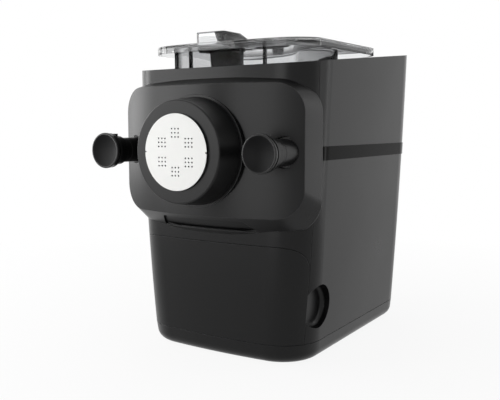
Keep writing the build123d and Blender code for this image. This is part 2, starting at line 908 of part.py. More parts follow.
# Bosses inside the panel behind the ring's seat and the knob pockets
with BuildPart() as panel_bosses:
    with BuildSketch(facing_front(tube_flange_setback)):
        Circle(tube_flange_radius + panel_wall)
    extrude(amount=tube_flange_setback - panel_face_setback + panel_wall)
    with BuildSketch(facing_front(pocket_setback + panel_wall)):
        with Locations((-knob_offset, 0), (knob_offset, 0)):
            Circle(pocket_radius + panel_wall)
    extrude(amount=pocket_setback)
    add(panel_outside.part, mode=Mode.INTERSECT)

with BuildPart() as front_panel:
    add(panel_outside.part)
    add(panel_form(panel_wall), mode=Mode.SUBTRACT)
    add(panel_bosses.part)
    add(grip_recess.part, mode=Mode.SUBTRACT)
    with BuildSketch(facing_front(panel_face_setback + panel_wall)):
        Circle(ring_rear_radius + ring_seat_margin)
    extrude(amount=panel_face_setback + panel_wall - ring_rear_setback - fit_gap)
    with BuildSketch(facing_front(pocket_setback)):
        with Locations((-knob_offset, 0), (knob_offset, 0)):
            Circle(pocket_radius)
    extrude(amount=pocket_setback, mode=Mode.SUBTRACT)
    with BuildSketch(facing_front(pocket_setback)):
        with Locations((-knob_offset, 0), (knob_offset, 0)):
            Circle(knob_neck_radius)
    extrude(amount=pocket_setback - knob_rear_setback - fit_gap)
    with BuildSketch(facing_front(panel_edge_setback + panel_edge_sag)):
        with Locations((-knob_offset, 0), (knob_offset, 0)):
            Circle(screw_radius + running_gap)
    extrude(amount=panel_edge_setback + panel_edge_sag, mode=Mode.SUBTRACT)
    with BuildSketch(facing_front(tube_flange_setback)):
        Circle(tube_radius + fit_gap)
    extrude(amount=tube_flange_setback, mode=Mode.SUBTRACT)
front_panel.part.label = "front_panel"
export_step(front_panel.part, "parts/front_panel.step")

# Extrusion tube: its threaded nose passes the panel, its flange stops behind the boss
with BuildPart() as extrusion_tube:
    with BuildSketch(barrel_plane):
        with BuildLine():
            Polyline(
                (tube_bore, die_thickness),
                (tube_radius, die_thickness),
                (tube_radius, tube_flange_setback),
                (tube_flange_radius, tube_flange_setback),
                (tube_flange_radius, tube_flange_setback + tube_flange_thickness),
                (tube_rear_radius, tube_flange_setback + tube_flange_thickness),
                (tube_rear_radius, plug_rear_setback),
                (tube_bore, plug_rear_setback),
                close=True,
            )
        make_face()
    revolve(axis=barrel_axis)
extrusion_tube.part.label = "extrusion_tube"
export_step(extrusion_tube.part, "parts/extrusion_tube.step")

# Sealing plate: a pan that closes the front of the chamber, carried by a collar on the tube
plate_setback = tube_flange_setback + tube_flange_thickness
with BuildPart() as sealing_plate:
    add(
        trough_band(
            plate_setback + plate_thickness,
            plug_rear_setback,
            chamber_radius - seam_gap,
            lintel_height - seam_gap,
            lintel_corner - seam_gap,
        )
    )
    add(
        trough_band(
            plate_setback,
            plug_rear_setback - plate_thickness,
            chamber_radius - seam_gap - plate_thickness,
            lintel_height - seam_gap - plate_thickness,
            lintel_corner - seam_gap - plate_thickness,
        ),
        mode=Mode.SUBTRACT,
    )
    with BuildSketch(facing_front(plug_rear_setback)):
        Circle(tube_rear_radius + 2 * plate_thickness)
    extrude(amount=plug_rear_setback - plate_setback)
    with BuildSketch(facing_front(plug_rear_setback)):
        Circle(tube_rear_radius)
    extrude(amount=plug_rear_setback, mode=Mode.SUBTRACT)
sealing_plate.part.label = "sealing_plate"
export_step(sealing_plate.part, "parts/sealing_plate.step")

# Gasket round the plug, pressed against the chamber's front edge
with BuildPart() as front_seal:
    add(
        trough_band(
            chamber_front_setback - seal_thickness - fit_gap,
            chamber_front_setback - fit_gap,
            chamber_radius + seal_width - seam_gap,
            lintel_height + seal_width - seam_gap,
            lintel_corner + seal_width - seam_gap,
        )
    )
    add(
        trough_band(
            0,
            plug_rear_setback,
            chamber_radius - seam_gap,
            lintel_height - seam_gap,
            lintel_corner - seam_gap,
        ),
        mode=Mode.SUBTRACT,
    )
front_seal.part.label = "front_seal"
export_step(front_seal.part, "parts/front_seal.step")

# ---------------------------------------------------------------- die and locking ring
with BuildPart() as die_disc:
    with BuildSketch(barrel_plane):
        with BuildLine():
            Polyline(
                (0, 0),
                (die_face_radius, 0),
                (die_face_radius, die_lip),
                (die_flange_radius, die_lip),
                (die_flange_radius, die_thickness),
                (tube_bore, die_thickness),
                (tube_bore, die_web),
                (0, die_web),
                close=True,
            )
        make_face()
    revolve(axis=barrel_axis)
    with BuildSketch(facing_front(die_thickness)):
        for angle in range(30, 360, 60):
            centre = (die_group_radius * cos(radians(angle)), die_group_radius * sin(radians(angle)))
            with Locations(centre):
                with GridLocations(die_hole_pitch, die_hole_pitch, 3, 3):
                    Circle(die_hole_radius)
    extrude(amount=die_thickness, mode=Mode.SUBTRACT)
    with BuildSketch(facing_front(die_lip)):
        with Locations((-die_face_radius, 0), (die_face_radius, 0)):
            Rectangle(2 * die_notch, die_notch)
    extrude(amount=die_lip, mode=Mode.SUBTRACT)
die_disc.part.label = "die_disc"
export_step(die_disc.part, "parts/die_disc.step")

with BuildPart() as locking_ring:
    with BuildSketch(barrel_plane):
        with BuildLine():
            Polyline(
                (die_face_radius + fit_gap, ring_front_setback),
                (ring_front_radius, ring_front_setback),
                (ring_rear_radius, ring_rear_setback),
                (tube_radius + running_gap, ring_rear_setback),
                (tube_radius + running_gap, die_thickness),
                (die_flange_radius + fit_gap, die_thickness),
                (die_flange_radius + fit_gap, die_lip - fit_gap),
                (die_face_radius + fit_gap, die_lip - fit_gap),
                close=True,
            )
        make_face()
    revolve(axis=barrel_axis)
    front_edges = locking_ring.edges().filter_by(GeomType.CIRCLE).group_by(Axis.Y)[0]
    fillet(front_edges.sort_by(SortBy.RADIUS)[-1], ring_edge)
locking_ring.part.label = "locking_ring"
export_step(locking_ring.part, "parts/locking_ring.step")

# ---------------------------------------------------------------- knobs and clamp screws
for side, name in ((-1, "left"), (1, "right")):
    knob_axis = Axis((side * knob_offset, 0, axis_height), (0, 1, 0))
    knob_plane = Plane(origin=(side * knob_offset, front, axis_height), x_dir=(1, 0, 0), z_dir=(0, 0, 1))
    knob_cap_rear = knob_face_setback + knob_cap_thickness
    knob_flange_rear = knob_cap_rear + knob_edge + knob_flange
    with BuildPart() as knob_cap:
        with BuildSketch(knob_plane):
            with BuildLine():
                dish = ThreePointArc(
                    (0, knob_face_setback + knob_dish),
                    (knob_radius / 2, knob_face_setback + knob_dish * 0.75),
                    (knob_radius - knob_edge, knob_face_setback),
                )
                Polyline(
                    dish @ 1,
                    (knob_radius - knob_edge / 3, knob_face_setback),
                    (knob_radius, knob_face_setback + knob_edge / 2),
                    (knob_radius, knob_cap_rear - knob_edge / 2),
                    (knob_radius - knob_edge / 2, knob_cap_rear),
                    (0, knob_cap_rear),
                    dish @ 0,
                )
            make_face()
        revolve(axis=knob_axis)
    knob_cap.part.label = name + "_knob_cap"
    export_step(knob_cap.part, "parts/" + name + "_knob_cap.step")

    with BuildPart() as knob:
        with BuildSketch(knob_plane):
            with BuildLine():
                Polyline(
                    (screw_radius, knob_cap_rear),
                    (knob_radius - 2 * knob_edge, knob_cap_rear),
                    (knob_radius - 2 * knob_edge, knob_cap_rear + knob_edge),
                    (knob_radius - knob_flange_step, knob_cap_rear + knob_edge),
                    (knob_radius - knob_flange_step, knob_flange_rear),
                    (knob_drum_radius, knob_flange_rear),
                    (knob_drum_radius, knob_drum_setback),
                    (knob_neck_radius, knob_drum_setback + knob_drum_radius - knob_neck_radius),
                    (knob_neck_radius, knob_rear_setback),
                    (screw_radius, knob_rear_setback),
                    close=True,
                )
            make_face()
        revolve(axis=knob_axis)
        with BuildSketch(facing_front(knob_flange_rear + knob_tab_length)):
            with Locations((side * knob_offset, knob_neck_radius)):
                Rectangle(knob_tab_width, knob_tab_radius - knob_neck_radius, align=(Align.CENTER, Align.MIN))
        extrude(amount=knob_tab_length)
    knob.part.label = name + "_knob"
    export_step(knob.part, "parts/" + name + "_knob.step")

    with BuildPart() as clamp_screw:
        with BuildSketch(facing_front(bush_rear_setback)):
            with Locations((side * knob_offset, 0)):
                Circle(screw_radius)
        extrude(amount=bush_rear_setback - knob_cap_rear)
        chamfer(clamp_screw.edges().group_by(Axis.Y)[-1], screw_radius / 5)
    clamp_screw.part.label = name + "_clamp_screw"
    export_step(clamp_screw.part, "parts/" + name + "_clamp_screw.step")

with BuildPart() as clamp_bushes:
    with BuildSketch(facing_front(bush_rear_setback)):
        with Locations((-knob_offset, 0), (knob_offset, 0)):
            Circle(bush_radius)
            Circle(screw_radius + running_gap, mode=Mode.SUBTRACT)
    extrude(amount=bush_rear_setback - bush_front_setback)
clamp_bushes.part.label = "clamp_bushes"
export_step(clamp_bushes.part, "parts/clamp_bushes.step")

# ---------------------------------------------------------------- lid
def lid_plan(inset):
    """Plan of the lid in its own sloping plane, bowed at the front."""
    with BuildSketch() as plan:
        with BuildLine():
            ThreePointArc((-lid_half_width, lid_bow), (0, 0), (lid_half_width, lid_bow))
            Polyline(
                (lid_half_width, lid_bow),
                (lid_half_width, lid_length),
                (-lid_half_width, lid_length),
                (-lid_half_width, lid_bow),
            )
        make_face()
        fillet(plan.vertices(), lid_corner)
        if inset:
            offset(amount=-inset)
    return plan.sketch


def skirt_plan(inset):
    """Plan of the lid's skirt, which drops into the chamber's mouth."""
    near = mouth_front_setback - lid_front_setback
    lean = skirt_drop * sin(radians(lid_slope))
    far = chamber_rear_setback - chamber_wall - lid_front_setback - lean
    with BuildSketch() as plan:
        with Locations((0, (near + far) / 2)):
            RectangleRounded(
                2 * (chamber_radius - skirt_gap - inset),
                far - near - 2 * (skirt_gap + inset),
                mouth_corner - skirt_gap - inset,
            )
    return plan.sketch


crown_radius = (lid_half_width**2 + lid_crown**2) / (2 * lid_crown)
with BuildPart() as lid_blank:
    with BuildSketch(Plane.XY.offset(-lid_edge)):
        add(lid_plan(0))
    extrude(amount=lid_edge + lid_crown)
    with BuildSketch(Plane.XZ.offset(-lid_length)):
        with Locations((0, lid_crown - crown_radius)):
            Circle(crown_radius)
    extrude(amount=lid_length, mode=Mode.INTERSECT)
    fillet(lid_blank.edges().group_by(Axis.Z)[0], lid_edge / 6)

# Clear lid, modelled flat: a crowned plate, its edge, the skirt, the filling hopper and stiffening ribs
with BuildPart() as lid_flat:
    add(lid_blank.part)
    with BuildSketch(Plane.XY.offset(-lid_edge)):
        add(lid_plan(lid_plate))
    extrude(amount=lid_edge - lid_plate, mode=Mode.SUBTRACT)
    with BuildSketch(Plane.XY.offset(-skirt_drop)):
        add(skirt_plan(0))
        add(skirt_plan(skirt_wall), mode=Mode.SUBTRACT)
    extrude(amount=skirt_drop - lid_plate / 2)
    with BuildSketch(Plane.XY.offset(-rib_drop)):
        with Locations(*[(x, mouth_front_setback - lid_front_setback + skirt_gap) for x in rib_offsets]):
            Rectangle(rib_thickness, rib_reach + skirt_wall, align=(Align.CENTER, Align.MIN))
    extrude(amount=rib_drop - lid_plate / 2)
    with BuildSketch(Plane.XZ.offset(-hopper_front)):
        with BuildLine():
            Polyline(
                (hopper_left, -lid_plate / 2),
                (hopper_left, lid_crown + hopper_rise),
                (hopper_left + hopper_flat, lid_crown + hopper_rise),
                (hopper_left + hopper_length, 0),
                (hopper_left + hopper_length, -lid_plate / 2),
                close=True,
            )
        make_face()
    extrude(amount=-hopper_depth)
    with BuildSketch(Plane.XZ.offset(-hopper_front - skirt_wall)):
        with BuildLine():
            Polyline(
                (hopper_left + skirt_wall, -lid_plate),
                (hopper_left + skirt_wall, lid_crown + 2 * hopper_rise),
                (hopper_left + hopper_flat, lid_crown + 2 * hopper_rise),
                (hopper_left + hopper_flat, lid_crown + hopper_rise - skirt_wall),
                (hopper_left + hopper_length - 4 * skirt_wall, 0),
                (hopper_left + hopper_flat, 0),
                (hopper_left + hopper_flat, -lid_plate),
                close=True,
            )
        make_face()
    extrude(amount=-(hopper_depth - 2 * skirt_wall), mode=Mode.SUBTRACT)
lid = lid_plane.location * lid_flat.part
lid.label = "lid"
export_step(lid, "parts/lid.step")

# Smoked spray cup under the hopper, with a row of outlet holes in its floor
with BuildPart() as spray_cup_flat:
    with BuildSketch(Plane.XY.offset(-cup_drop)):
        with Locations((hopper_left + skirt_wall + fit_gap, hopper_front + skirt_wall + fit_gap)):
            Rectangle(
                hopper_flat - skirt_wall - 2 * fit_gap,
                hopper_depth - 2 * (skirt_wall + fit_gap),
                align=(Align.MIN, Align.MIN),
            )
    extrude(amount=cup_drop + lid_crown)
    offset(amount=-cup_wall, openings=spray_cup_flat.faces().sort_by(Axis.Z)[-1])
    with BuildSketch(Plane.XY.offset(-cup_drop)):
        with Locations((hopper_left + (hopper_flat + skirt_wall) / 2, hopper_front + hopper_depth / 2)):
            with GridLocations(cup_hole_pitch, 1, cup_holes, 1):
                Circle(cup_hole_radius)
    extrude(amount=2 * cup_wall, mode=Mode.SUBTRACT)
spray_cup = lid_plane.location * spray_cup_flat.part
spray_cup.label = "spray_cup"
export_step(spray_cup, "parts/spray_cup.step")

# ---------------------------------------------------------------- mixer
socket_setback = chamber_rear_setback - chamber_wall - fit_gap
with BuildPart() as mixing_paddle:
    with BuildSketch(facing_front(socket_setback)):
        Circle(hub_radius)
    extrude(amount=socket_setback - auger_rear_setback)
    for count, side in enumerate(arm_sides):
        setback = arm_front_setback + count * arm_spacing
        with BuildSketch(facing_front(setback)):
            with Locations((0, side * paddle_reach / 2)):
                Rectangle(arm_thickness, paddle_reach)
            with Locations((0, side * (paddle_reach - arm_thickness / 2))):
                Circle(arm_thickness / 2)
        extrude(amount=arm_width)
        with BuildSketch(facing_front(setback + tip_length)):
            with Locations((0, side * (paddle_reach - arm_thickness / 2))):
                SlotOverall(2 * arm_thickness, arm_thickness, rotation=90)
        extrude(amount=tip_length)
    with BuildSketch(Plane.XZ.offset(-front)):
        with Locations((0, axis_height)):
            Circle(paddle_reach)
    extrude(amount=-depth, mode=Mode.INTERSECT)
    with BuildSketch(facing_front(socket_setback)):
        Circle(shaft_radius + running_gap)
    extrude(amount=shaft_grip, mode=Mode.SUBTRACT)
mixing_paddle.part.label = "mixing_paddle"
export_step(mixing_paddle.part, "parts/mixing_paddle.step")

# Auger: one flight wound on a core, running in the extrusion tube
auger_length = auger_rear_setback - auger_front_setback
auger_radius = tube_bore - auger_clearance
flight_root = auger_core_radius - flight_thickness / 2
flight_start = Vector(flight_root, front + auger_front_setback + flight_thickness, axis_height)
with BuildPart() as auger:
    with BuildLine():
        flight = Helix(
            auger_pitch,
            auger_length - 2 * flight_thickness,
            flight_root,
            center=(0, flight_start.Y, axis_height),
            direction=(0, 1, 0),
        )
    outwards = (flight @ 0) - Vector(0, flight_start.Y, axis_height)
    with BuildSketch(Plane(origin=flight @ 0, x_dir=outwards, z_dir=flight % 0)):
        Rectangle(auger_radius - flight_root, flight_thickness, align=(Align.MIN, Align.CENTER))
    sweep(path=flight, is_frenet=True)
    with BuildSketch(facing_front(auger_rear_setback)):
        Circle(auger_core_radius)
    extrude(amount=auger_length)
auger.part.label = "auger"
export_step(auger.part, "parts/auger.step")

# ---------------------------------------------------------------- drive
gear_radius = gear_module * gear_teeth / 2
pinion_radius = gear_module * pinion_teeth / 2
motor_height = axis_height - gear_radius - pinion_radius
gearbox_front_setback = bulkhead_setback + bulkhead_thickness
gear_front_setback = gearbox_front_setback + gearbox_wall + gear_side_gap
gearbox_rear_setback = gearbox_front_setback + gearbox_depth
cover_rear_setback = gearbox_rear_setback + gearbox_wall


def gear_profile(teeth, turn):
    """Involute spur gear in its own plane, with one tooth centred on a direction in degrees."""
    pitch_radius = gear_module * teeth / 2
    base_radius = pitch_radius * cos(radians(pressure_angle))
    root_radius = pitch_radius - 1.2 * gear_module
    tip_radius = pitch_radius + 0.9 * gear_module
    half_pitch_angle = pi / (2 * teeth) - gear_backlash / (2 * pitch_radius)

    def involute(radius):
        rolled = sqrt(max(radius / base_radius, 1.0) ** 2 - 1)
        return rolled - atan(rolled)

    def point(radius, angle):
        return (radius * cos(angle), radius * sin(angle))

    flank_radii = [max(root_radius, base_radius), pitch_radius, tip_radius]
    corners = []
    for tooth in range(teeth):
        middle = radians(turn) + 2 * pi * tooth / teeth
        half_angles = [half_pitch_angle + involute(pitch_radius) - involute(r) for r in flank_radii]
        corners.append(point(root_radius, middle - half_angles[0]))
        corners += [point(r, middle - a) for r, a in zip(flank_radii, half_angles)]
        corners += [point(r, middle + a) for r, a in reversed(list(zip(flank_radii, half_angles)))]
        corners.append(point(root_radius, middle + half_angles[0]))
    with BuildSketch() as profile:
        Polygon(*corners, align=None)
    return profile.sketch


with BuildPart() as drive_gear:
    with BuildSketch(facing_front(gear_front_setback + gear_width)):
        add(gear_profile(gear_teeth, -90))
        Circle(shaft_radius + running_gap, mode=Mode.SUBTRACT)
    extrude(amount=gear_width)
drive_gear.part.label = "drive_gear"
export_step(drive_gear.part, "parts/drive_gear.step")

with BuildPart() as drive_shaft:
    with BuildSketch(facing_front(gear_front_setback + gear_width + gear_side_gap / 2)):
        Circle(shaft_radius)
    extrude(amount=gear_front_setback + gear_width + gear_side_gap / 2 - socket_setback + shaft_grip - fit_gap)
    with BuildSketch(facing_front(cover_rear_setback - fit_gap)):
        Circle(shaft_tip_radius)
    extrude(amount=cover_rear_setback - fit_gap - gear_front_setback)
drive_shaft.part.label = "drive_shaft"
export_step(drive_shaft.part, "parts/drive_shaft.step")


def collar(name, front_setback, rear_setback, outer, bore, centre_rise=0.0):
    """Plain ring about the barrel axis or an axis above or below it, such as a bearing or a seal."""
    with BuildPart() as ring:
        with BuildSketch(facing_front(rear_setback)):
            with Locations((0, centre_rise)):
                Circle(outer)
                Circle(bore, mode=Mode.SUBTRACT)
        extrude(amount=rear_setback - front_setback)
    ring.part.label = name
    export_step(ring.part, "parts/" + name + ".step")


motor_rise = motor_height - axis_height
collar(
    "shaft_seal", chamber_rear_setback - chamber_wall, chamber_rear_setback, bearing_radius, shaft_radius + running_gap
)
collar(
    "shaft_bearing",
    bulkhead_setback,
    gearbox_front_setback + gearbox_wall,
    bearing_radius,
    shaft_radius + running_gap,
)
collar(
    "rear_bearing", gearbox_rear_setback, cover_rear_setback, bearing_radius, shaft_tip_radius + running_gap
)
collar(
    "motor_bearing",
    gearbox_rear_setback,
    cover_rear_setback,
    motor_bearing_radius,
    motor_shaft_radius + running_gap,
    motor_rise,
)


lug_circle = gear_radius + gear_case_margin + lug_radius / 2


def gearbox_outline(inset):
    """Hull of the two gears' cases, seen along the shafts."""
    with BuildSketch() as outline:
        Circle(gear_radius + gear_case_margin - inset)
        with Locations((0, motor_rise)):
            Circle(pinion_radius + gear_case_margin - inset)
        with Locations((0, motor_rise / 2)):
            Rectangle(2 * (pinion_radius + gear_case_margin - inset), -motor_rise)
        if not inset:
            with PolarLocations(lug_circle, 4, start_angle=45):
                Circle(lug_radius)
    return outline.sketch


with BuildPart() as gearbox_housing:
    with BuildSketch(facing_front(gearbox_rear_setback)):
        add(gearbox_outline(0))
    extrude(amount=gearbox_depth)
    with BuildSketch(facing_front(gearbox_rear_setback)):
        add(gearbox_outline(gearbox_wall))
    extrude(amount=gearbox_depth - gearbox_wall, mode=Mode.SUBTRACT)
    with BuildSketch(facing_front(gearbox_rear_setback)):
        Circle(bearing_radius)
    extrude(amount=gearbox_depth, mode=Mode.SUBTRACT)
    with BuildSketch(facing_front(gearbox_rear_setback)):
        with PolarLocations(lug_circle, 4, start_angle=45):
            Circle(cover_screw_radius)
    extrude(amount=cover_screw_length, mode=Mode.SUBTRACT)
gearbox_housing.part.label = "gearbox_housing"
export_step(gearbox_housing.part, "parts/gearbox_housing.step")

with BuildPart() as gearbox_cover:
    with BuildSketch(facing_front(cover_rear_setback)):
        add(gearbox_outline(0))
        Circle(bearing_radius, mode=Mode.SUBTRACT)
        with Locations((0, motor_rise)):
            Circle(motor_bearing_radius, mode=Mode.SUBTRACT)
        with PolarLocations(lug_circle, 4, start_angle=45):
            Circle(cover_screw_radius, mode=Mode.SUBTRACT)
    extrude(amount=gearbox_wall)
gearbox_cover.part.label = "gearbox_cover"
export_step(gearbox_cover.part, "parts/gearbox_cover.step")

with BuildPart() as gearbox_screws:
    with BuildSketch(facing_front(cover_rear_setback)):
        with PolarLocations(lug_circle, 4, start_angle=45):
            Circle(cover_screw_radius)
    extrude(amount=gearbox_wall + cover_screw_length)
    with BuildSketch(facing_front(cover_rear_setback)):
        with PolarLocations(lug_circle, 4, start_angle=45):
            Circle(2 * cover_screw_radius)
    extrude(amount=-cover_screw_radius)
gearbox_screws.part.label = "gearbox_screws"
export_step(gearbox_screws.part, "parts/gearbox_screws.step")

with BuildPart() as motor:
    with BuildSketch(facing_front(cover_rear_setback + motor_length)):
        with Locations((0, motor_rise)):
            Circle(motor_radius)
    extrude(amount=motor_length)
    fillet(motor.edges().filter_by(GeomType.CIRCLE).group_by(Axis.Y)[-1], motor_shaft_radius)
    with BuildSketch(facing_front(cover_rear_setback + motor_length)):
        with Locations((0, motor_rise)):
            with PolarLocations(motor_vent_circle, motor_vents):
                Circle(motor_shaft_radius)
    extrude(amount=motor_shaft_radius, mode=Mode.SUBTRACT)
    with BuildSketch(facing_front(cover_rear_setback + motor_length)):
        with Locations((0, motor_rise)):
            Circle(motor_shaft_radius + running_gap)
    extrude(amount=motor_length, mode=Mode.SUBTRACT)
motor.part.label = "motor"
export_step(motor.part, "parts/motor.step")

with BuildPart() as motor_pinion:
    with BuildSketch(facing_front(gear_front_setback + gear_width)):
        with Locations((0, motor_rise)):
            add(gear_profile(pinion_teeth, 90 + 180 / pinion_teeth))
            Circle(motor_shaft_radius, mode=Mode.SUBTRACT)
    extrude(amount=gear_width)
    with BuildSketch(facing_front(cover_rear_setback + motor_length + fan_length)):
        with Locations((0, motor_rise)):
            Circle(motor_shaft_radius)
    extrude(amount=cover_rear_setback + motor_length + fan_length - gear_front_setback)
motor_pinion.part.label = "motor_pinion"
export_step(motor_pinion.part, "parts/motor_pinion.step")

# Cooling fan on the rear end of the motor's shaft
with BuildPart() as cooling_fan:
    with BuildSketch(facing_front(cover_rear_setback + motor_length + fan_length)):
        with Locations((0, motor_rise)):
            Circle(2.5 * motor_shaft_radius)
    extrude(amount=fan_length - fan_gap)
    with BuildSketch(facing_front(cover_rear_setback + motor_length + fan_length)):
        with Locations((0, motor_rise)):
            with PolarLocations(0, fan_blades):
                with Locations((fan_radius / 2, 0)):
                    Rectangle(fan_radius, fan_blade)
    extrude(amount=fan_length - fan_gap)
    with BuildSketch(facing_front(cover_rear_setback + motor_length + fan_length)):
        with Locations((0, motor_rise)):
            Circle(motor_shaft_radius + running_gap)
    extrude(amount=fan_length, mode=Mode.SUBTRACT)
cooling_fan.part.label = "cooling_fan"
export_step(cooling_fan.part, "parts/cooling_fan.step")

# Mains board on pillars behind the bulkhead
with BuildPart() as power_board:
    with BuildSketch(Plane.XY.offset(floor_top + board_stand)):
        with Locations((0, front + power_board_setback)):
            Rectangle(power_board_width, power_board_length)
    extrude(amount=board_thickness)
    with BuildSketch(Plane.XY.offset(floor_top)):
        with Locations((0, front + power_board_setback)):
            with GridLocations(
                power_board_width - 2 * pillar_margin, power_board_length - 2 * pillar_margin, 2, 2
            ):
                Circle(button_stem_radius)
    extrude(amount=board_stand)
    with BuildSketch(Plane.XY.offset(floor_top + board_stand)):
        with Locations((0, front + power_board_setback)):
            with Locations((-filter_width / 2, power_board_length / 5)):
                Rectangle(filter_width, filter_depth)
            with Locations((filter_width / 2, -power_board_length / 5)):
                Rectangle(filter_depth, filter_width)
    extrude(amount=filter_tall)
    with BuildSketch(Plane.XY.offset(floor_top + board_stand)):
        with Locations((0, front + power_board_setback)):
            with Locations((-filter_width / 2, -power_board_length / 5)):
                Circle(capacitor_radius)
    extrude(amount=capacitor_tall)
power_board.part.label = "power_board"
export_step(power_board.part, "parts/power_board.step")

# ---------------------------------------------------------------- drawer
with BuildPart() as drawer_front:
    add(casing_tube.part)
    split(bisect_by=side_seam, keep=Keep.BOTTOM)
    extrude(drawer_outline(0), amount=2 * crown_half_width, mode=Mode.INTERSECT)
drawer_front.part.label = "drawer_front"
export_step(drawer_front.part, "parts/drawer_front.step")


def tray_block(side_wall, floor_wall):
    """Straight-sided block whose front follows the inside of the drawer front, less two walls."""
    near = tray_front_setback - 2 * front_bow
    with BuildPart() as block:
        with BuildSketch(Plane.XY.offset(tray_floor_height + floor_wall)):
            with Locations((0, front + (near + tray_rear_setback - side_wall) / 2)):
                Rectangle(2 * (tray_half_width - side_wall), tray_rear_setback - side_wall - near)
        extrude(amount=tray_height)
        loft(sections=casing_sections(casing_wall + fit_gap + side_wall), mode=Mode.INTERSECT)
    return block.part


with BuildPart() as drawer_tray:
    add(tray_block(0, 0))
    add(tray_block(tray_wall, tray_wall), mode=Mode.SUBTRACT)
drawer_tray.part.label = "drawer_tray"
export_step(drawer_tray.part, "parts/drawer_tray.step")
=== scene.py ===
import math
import bmesh
import bpy
from mathutils import Matrix, Vector


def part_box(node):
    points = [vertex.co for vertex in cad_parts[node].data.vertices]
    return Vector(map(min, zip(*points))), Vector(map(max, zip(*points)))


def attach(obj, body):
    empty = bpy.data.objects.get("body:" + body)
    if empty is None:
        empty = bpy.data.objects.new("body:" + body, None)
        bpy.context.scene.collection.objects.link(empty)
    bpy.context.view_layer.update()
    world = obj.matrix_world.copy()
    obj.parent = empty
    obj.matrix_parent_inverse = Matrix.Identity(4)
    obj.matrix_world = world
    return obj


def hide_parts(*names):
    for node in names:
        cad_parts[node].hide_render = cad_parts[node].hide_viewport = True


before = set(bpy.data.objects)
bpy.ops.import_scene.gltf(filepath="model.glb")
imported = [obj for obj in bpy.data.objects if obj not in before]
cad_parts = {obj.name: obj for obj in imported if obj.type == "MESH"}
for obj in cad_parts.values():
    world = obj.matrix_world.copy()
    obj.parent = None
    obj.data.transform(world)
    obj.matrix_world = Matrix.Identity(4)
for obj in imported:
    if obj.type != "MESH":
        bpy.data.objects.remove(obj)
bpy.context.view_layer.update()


# ---- Moulded casing: front frame, two sides, rear cover, drawer front and foot.
# Injection moulded ABS with a fine spark-eroded grain, satin black, hung on the chassis
# so that hairline seams show between the shells.
def moulded_grain_group():
    """Node group with the grain, slow patches of sheen and a mask of the edges, where a painted
    highlight goes.
    """
    group = bpy.data.node_groups.new("moulded_grain", "ShaderNodeTree")
    for name, value in (("Grain per metre", 1500.0), ("Depth", 0.00002), ("Rounding", 0.0006)):
        socket = group.interface.new_socket(name, in_out="INPUT", socket_type="NodeSocketFloat")
        socket.default_value = value
    group.interface.new_socket("Normal", in_out="OUTPUT", socket_type="NodeSocketVector")
    group.interface.new_socket("Sheen patches", in_out="OUTPUT", socket_type="NodeSocketFloat")
    group.interface.new_socket("Edge", in_out="OUTPUT", socket_type="NodeSocketFloat")
    add = group.nodes.new
    link = group.links.new
    inputs = add("NodeGroupInput")
    outputs = add("NodeGroupOutput")
    place = add("ShaderNodeTexCoord")
    # grain on a normal that is rounded at the edges
    grain = add("ShaderNodeTexNoise")
    grain.inputs["Detail"].default_value = 2.0
    link(place.outputs["Object"], grain.inputs["Vector"])
    link(inputs.outputs["Grain per metre"], grain.inputs["Scale"])
    soft = add("ShaderNodeBevel")
    soft.samples = 6
    link(inputs.outputs["Rounding"], soft.inputs["Radius"])
    bump = add("ShaderNodeBump")
    bump.inputs["Strength"].default_value = 1.0
    link(grain.outputs["Fac"], bump.inputs["Height"])
    link(inputs.outputs["Depth"], bump.inputs["Distance"])
    link(soft.outputs["Normal"], bump.inputs["Normal"])
    link(bump.outputs["Normal"], outputs.inputs["Normal"])
    # patches of sheen, about a hand wide
    patches = add("ShaderNodeTexNoise")
    patches.inputs["Scale"].default_value = 9.0
    patches.inputs["Detail"].default_value = 3.0
    link(place.outputs["Object"], patches.inputs["Vector"])
    link(patches.outputs["Fac"], outputs.inputs["Sheen patches"])
    # an edge is where the rounded normal has turned away from the face
    geometry = add("ShaderNodeNewGeometry")
    turned = add("ShaderNodeVectorMath")
    turned.operation = "DOT_PRODUCT"
    link(geometry.outputs["Normal"], turned.inputs[0])
    link(soft.outputs["Normal"], turned.inputs[1])
    edge = add("ShaderNodeMapRange")
    edge.inputs["From Min"].default_value = 0.995
    edge.inputs["From Max"].default_value = 0.90
    link(turned.outputs["Value"], edge.inputs["Value"])
    link(edge.outputs["Result"], outputs.inputs["Edge"])
    return group


moulded_grain = moulded_grain_group()


def grained(material, grain_per_metre, grain_depth, rounding):
    """Places the grain group in a material and gives its normal to the shader."""
    tree = material.node_tree
    surface = tree.nodes.new("ShaderNodeGroup")
    surface.node_tree = moulded_grain
    surface.inputs["Grain per metre"].default_value = grain_per_metre
    surface.inputs["Depth"].default_value = grain_depth
    surface.inputs["Rounding"].default_value = rounding
    tree.links.new(surface.outputs["Normal"], tree.nodes["Principled BSDF"].inputs["Normal"])
    return surface


def uneven_roughness(material, patches, low, high, patch_low=0.0, patch_high=1.0):
    """Spreads the roughness between two values by the patches of sheen."""
    tree = material.node_tree
    rough = tree.nodes.new("ShaderNodeMapRange")
    rough.inputs["From Min"].default_value = patch_low
    rough.inputs["From Max"].default_value = patch_high
    rough.inputs["To Min"].default_value = low
    rough.inputs["To Max"].default_value = high
    tree.links.new(patches, rough.inputs["Value"])
    tree.links.new(rough.outputs["Result"], tree.nodes["Principled BSDF"].inputs["Roughness"])


def two_tone(material, mask, colour, other):
    """Colours the shader from one colour to another by a mask."""
    tree = material.node_tree
    tone = tree.nodes.new("ShaderNodeMix")
    tone.data_type = "RGBA"
    tone.inputs["A"].default_value = (*colour, 1.0)
    tone.inputs["B"].default_value = (*other, 1.0)
    tree.links.new(mask, tone.inputs["Factor"])
    tree.links.new(tone.outputs["Result"], tree.nodes["Principled BSDF"].inputs["Base Color"])


